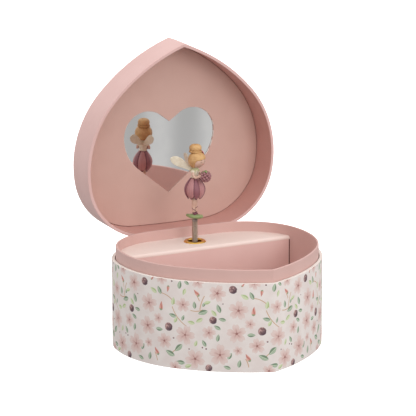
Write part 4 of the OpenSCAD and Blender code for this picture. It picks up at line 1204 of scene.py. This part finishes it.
def make_wings():
    parts = []
    length = 19.0
    width = ((0.0, 0.9), (0.25, 1.9), (0.62, 3.35), (0.85, 2.9), (1.0, 0.7))
    for side in (-1, 1):
        turn = Matrix.Rotation(radians(side * 33), 3, "Z")
        rise = radians(28)
        along = turn @ Vector((0, cos(rise), sin(rise)))
        up = turn @ Vector((0, -sin(rise), cos(rise)))
        face = along.cross(up)
        root = Vector((0, 1.8, 36.8))
        rows, around = 26, 40
        verts = []
        for j in range(rows + 1):
            t = j / rows
            half = profile_at(width, t) if j < rows else 0.05
            thick = 0.5 * (1 - 0.35 * t) if 0 < j < rows else 0.12
            arch = 0.5 * sin(pi * t)
            for a in all_round(around):
                v = cos(a)
                rib = 1 - 0.38 * abs(sin(pi * (v * 2.5 + 0.6 * t))) * smoothstep(0.08, 0.3, t)
                rim = 1 + 0.5 * smoothstep(0.72, 0.95, abs(v))
                spine = root + along * (length * t) + up * (half * v + arch + 0.6 * t)
                verts.append(spine + face * (thick * sin(a) * rib * rim))
        parts.append(mesh_object("wing", verts, capped_bands(rows + 1, around), FIGURE, crease=0))
    place(join("wings_painted", parts), "figure", M["cream"], "cream_paint", "wings")


make_spring()
make_leaf_base()
make_legs()
make_skirt()
make_body()
make_arms()
make_berry()
make_head()
make_hair()
make_wings()


# ---- Stage, light and camera ----

AZIMUTH, ELEVATION = radians(-27.05), radians(13.75)
CAMERA_AT = Vector((-835.1, -1603.9, 546.0))
LENS = 223.4


def make_camera():
    back = Vector((sin(AZIMUTH) * cos(ELEVATION), -cos(AZIMUTH) * cos(ELEVATION),
                   sin(ELEVATION)))
    camera = bpy.data.objects.new("camera", bpy.data.cameras.new("camera"))
    camera.data.lens = LENS
    camera.data.clip_start, camera.data.clip_end = 0.05, 50
    camera.location = CAMERA_AT * MM
    camera.rotation_mode = "QUATERNION"
    camera.rotation_quaternion = (-back).to_track_quat("-Z", "Y")
    bpy.context.scene.collection.objects.link(camera)
    bpy.context.scene.camera = camera


def area_light(name, azimuth, elevation, distance, size, power):
    """A round lamp aimed at the middle of the box. Its distance and size are in metres."""
    a, e = radians(azimuth), radians(elevation)
    toward = Vector((sin(a) * cos(e), -cos(a) * cos(e), sin(e)))
    light = bpy.data.lights.new(name, "AREA")
    light.shape = "DISK"
    light.size = size
    light.energy = power
    obj = bpy.data.objects.new(name, light)
    middle = Vector((0, 0, 0.07))
    obj.location = middle + toward * distance
    obj.rotation_mode = "QUATERNION"
    obj.rotation_quaternion = (-toward).to_track_quat("-Z", "Y")
    obj.visible_glossy = False
    bpy.context.scene.collection.objects.link(obj)


def make_world():
    """White to the camera, a soft even light on the object, and pale grey bands in what mirrors it."""
    world = bpy.data.worlds.new("studio")
    world.use_nodes = True
    world.node_tree.nodes.clear()
    g = Graph(world.node_tree)
    direction = g.add("ShaderNodeTexCoord").outputs["Generated"]
    x, y, z = g.split(direction)
    turn = g.math("ARCTAN2", x, g.times(y, -1.0))
    stripes = g.step(g.sin(g.times(turn, 290.0)), -1.0, 1.0, 0.44, 0.60)
    mirrored = g.mix(g.step(z, 0.15, 0.6), g.combine(stripes, stripes, stripes), (0.95, 0.95, 0.95, 1))
    lit = g.step(z, -0.3, 0.8, 0.46, 1.22)
    path = g.add("ShaderNodeLightPath").outputs
    colour = g.mix(path["Is Glossy Ray"], g.combine(lit, lit, lit), mirrored)
    colour = g.mix(path["Is Camera Ray"], colour, (1, 1, 1, 1))
    background = g.add("ShaderNodeBackground")
    g.put(background.inputs["Color"], colour)
    g.put(g.add("ShaderNodeOutputWorld").inputs["Surface"], background.outputs[0])
    bpy.context.scene.world = world


def make_floor():
    half, below = 3.0, -0.0002
    mesh = bpy.data.meshes.new("floor")
    corners = [(-half, -half, below), (half, -half, below), (half, half, below), (-half, half, below)]
    mesh.from_pydata(corners, [], [(0, 1, 2, 3)])
    floor = bpy.data.objects.new("floor", mesh)
    bpy.context.scene.collection.objects.link(floor)
    material, g = principled("floor_white", Roughness=0.9, Specular_IOR_Level=0.0)
    g.set("Base Color", (0.93, 0.93, 0.93, 1))
    g.set("Emission Color", (1, 1, 1, 1))
    g.set("Emission Strength", 0.9)
    mesh.materials.append(material)
    floor.visible_glossy = False
    floor.visible_diffuse = False


make_camera()
make_world()
make_floor()
area_light("key", azimuth=12, elevation=20, distance=1.6, size=0.9, power=6.0)
bpy.context.scene.view_settings.view_transform = "Standard"
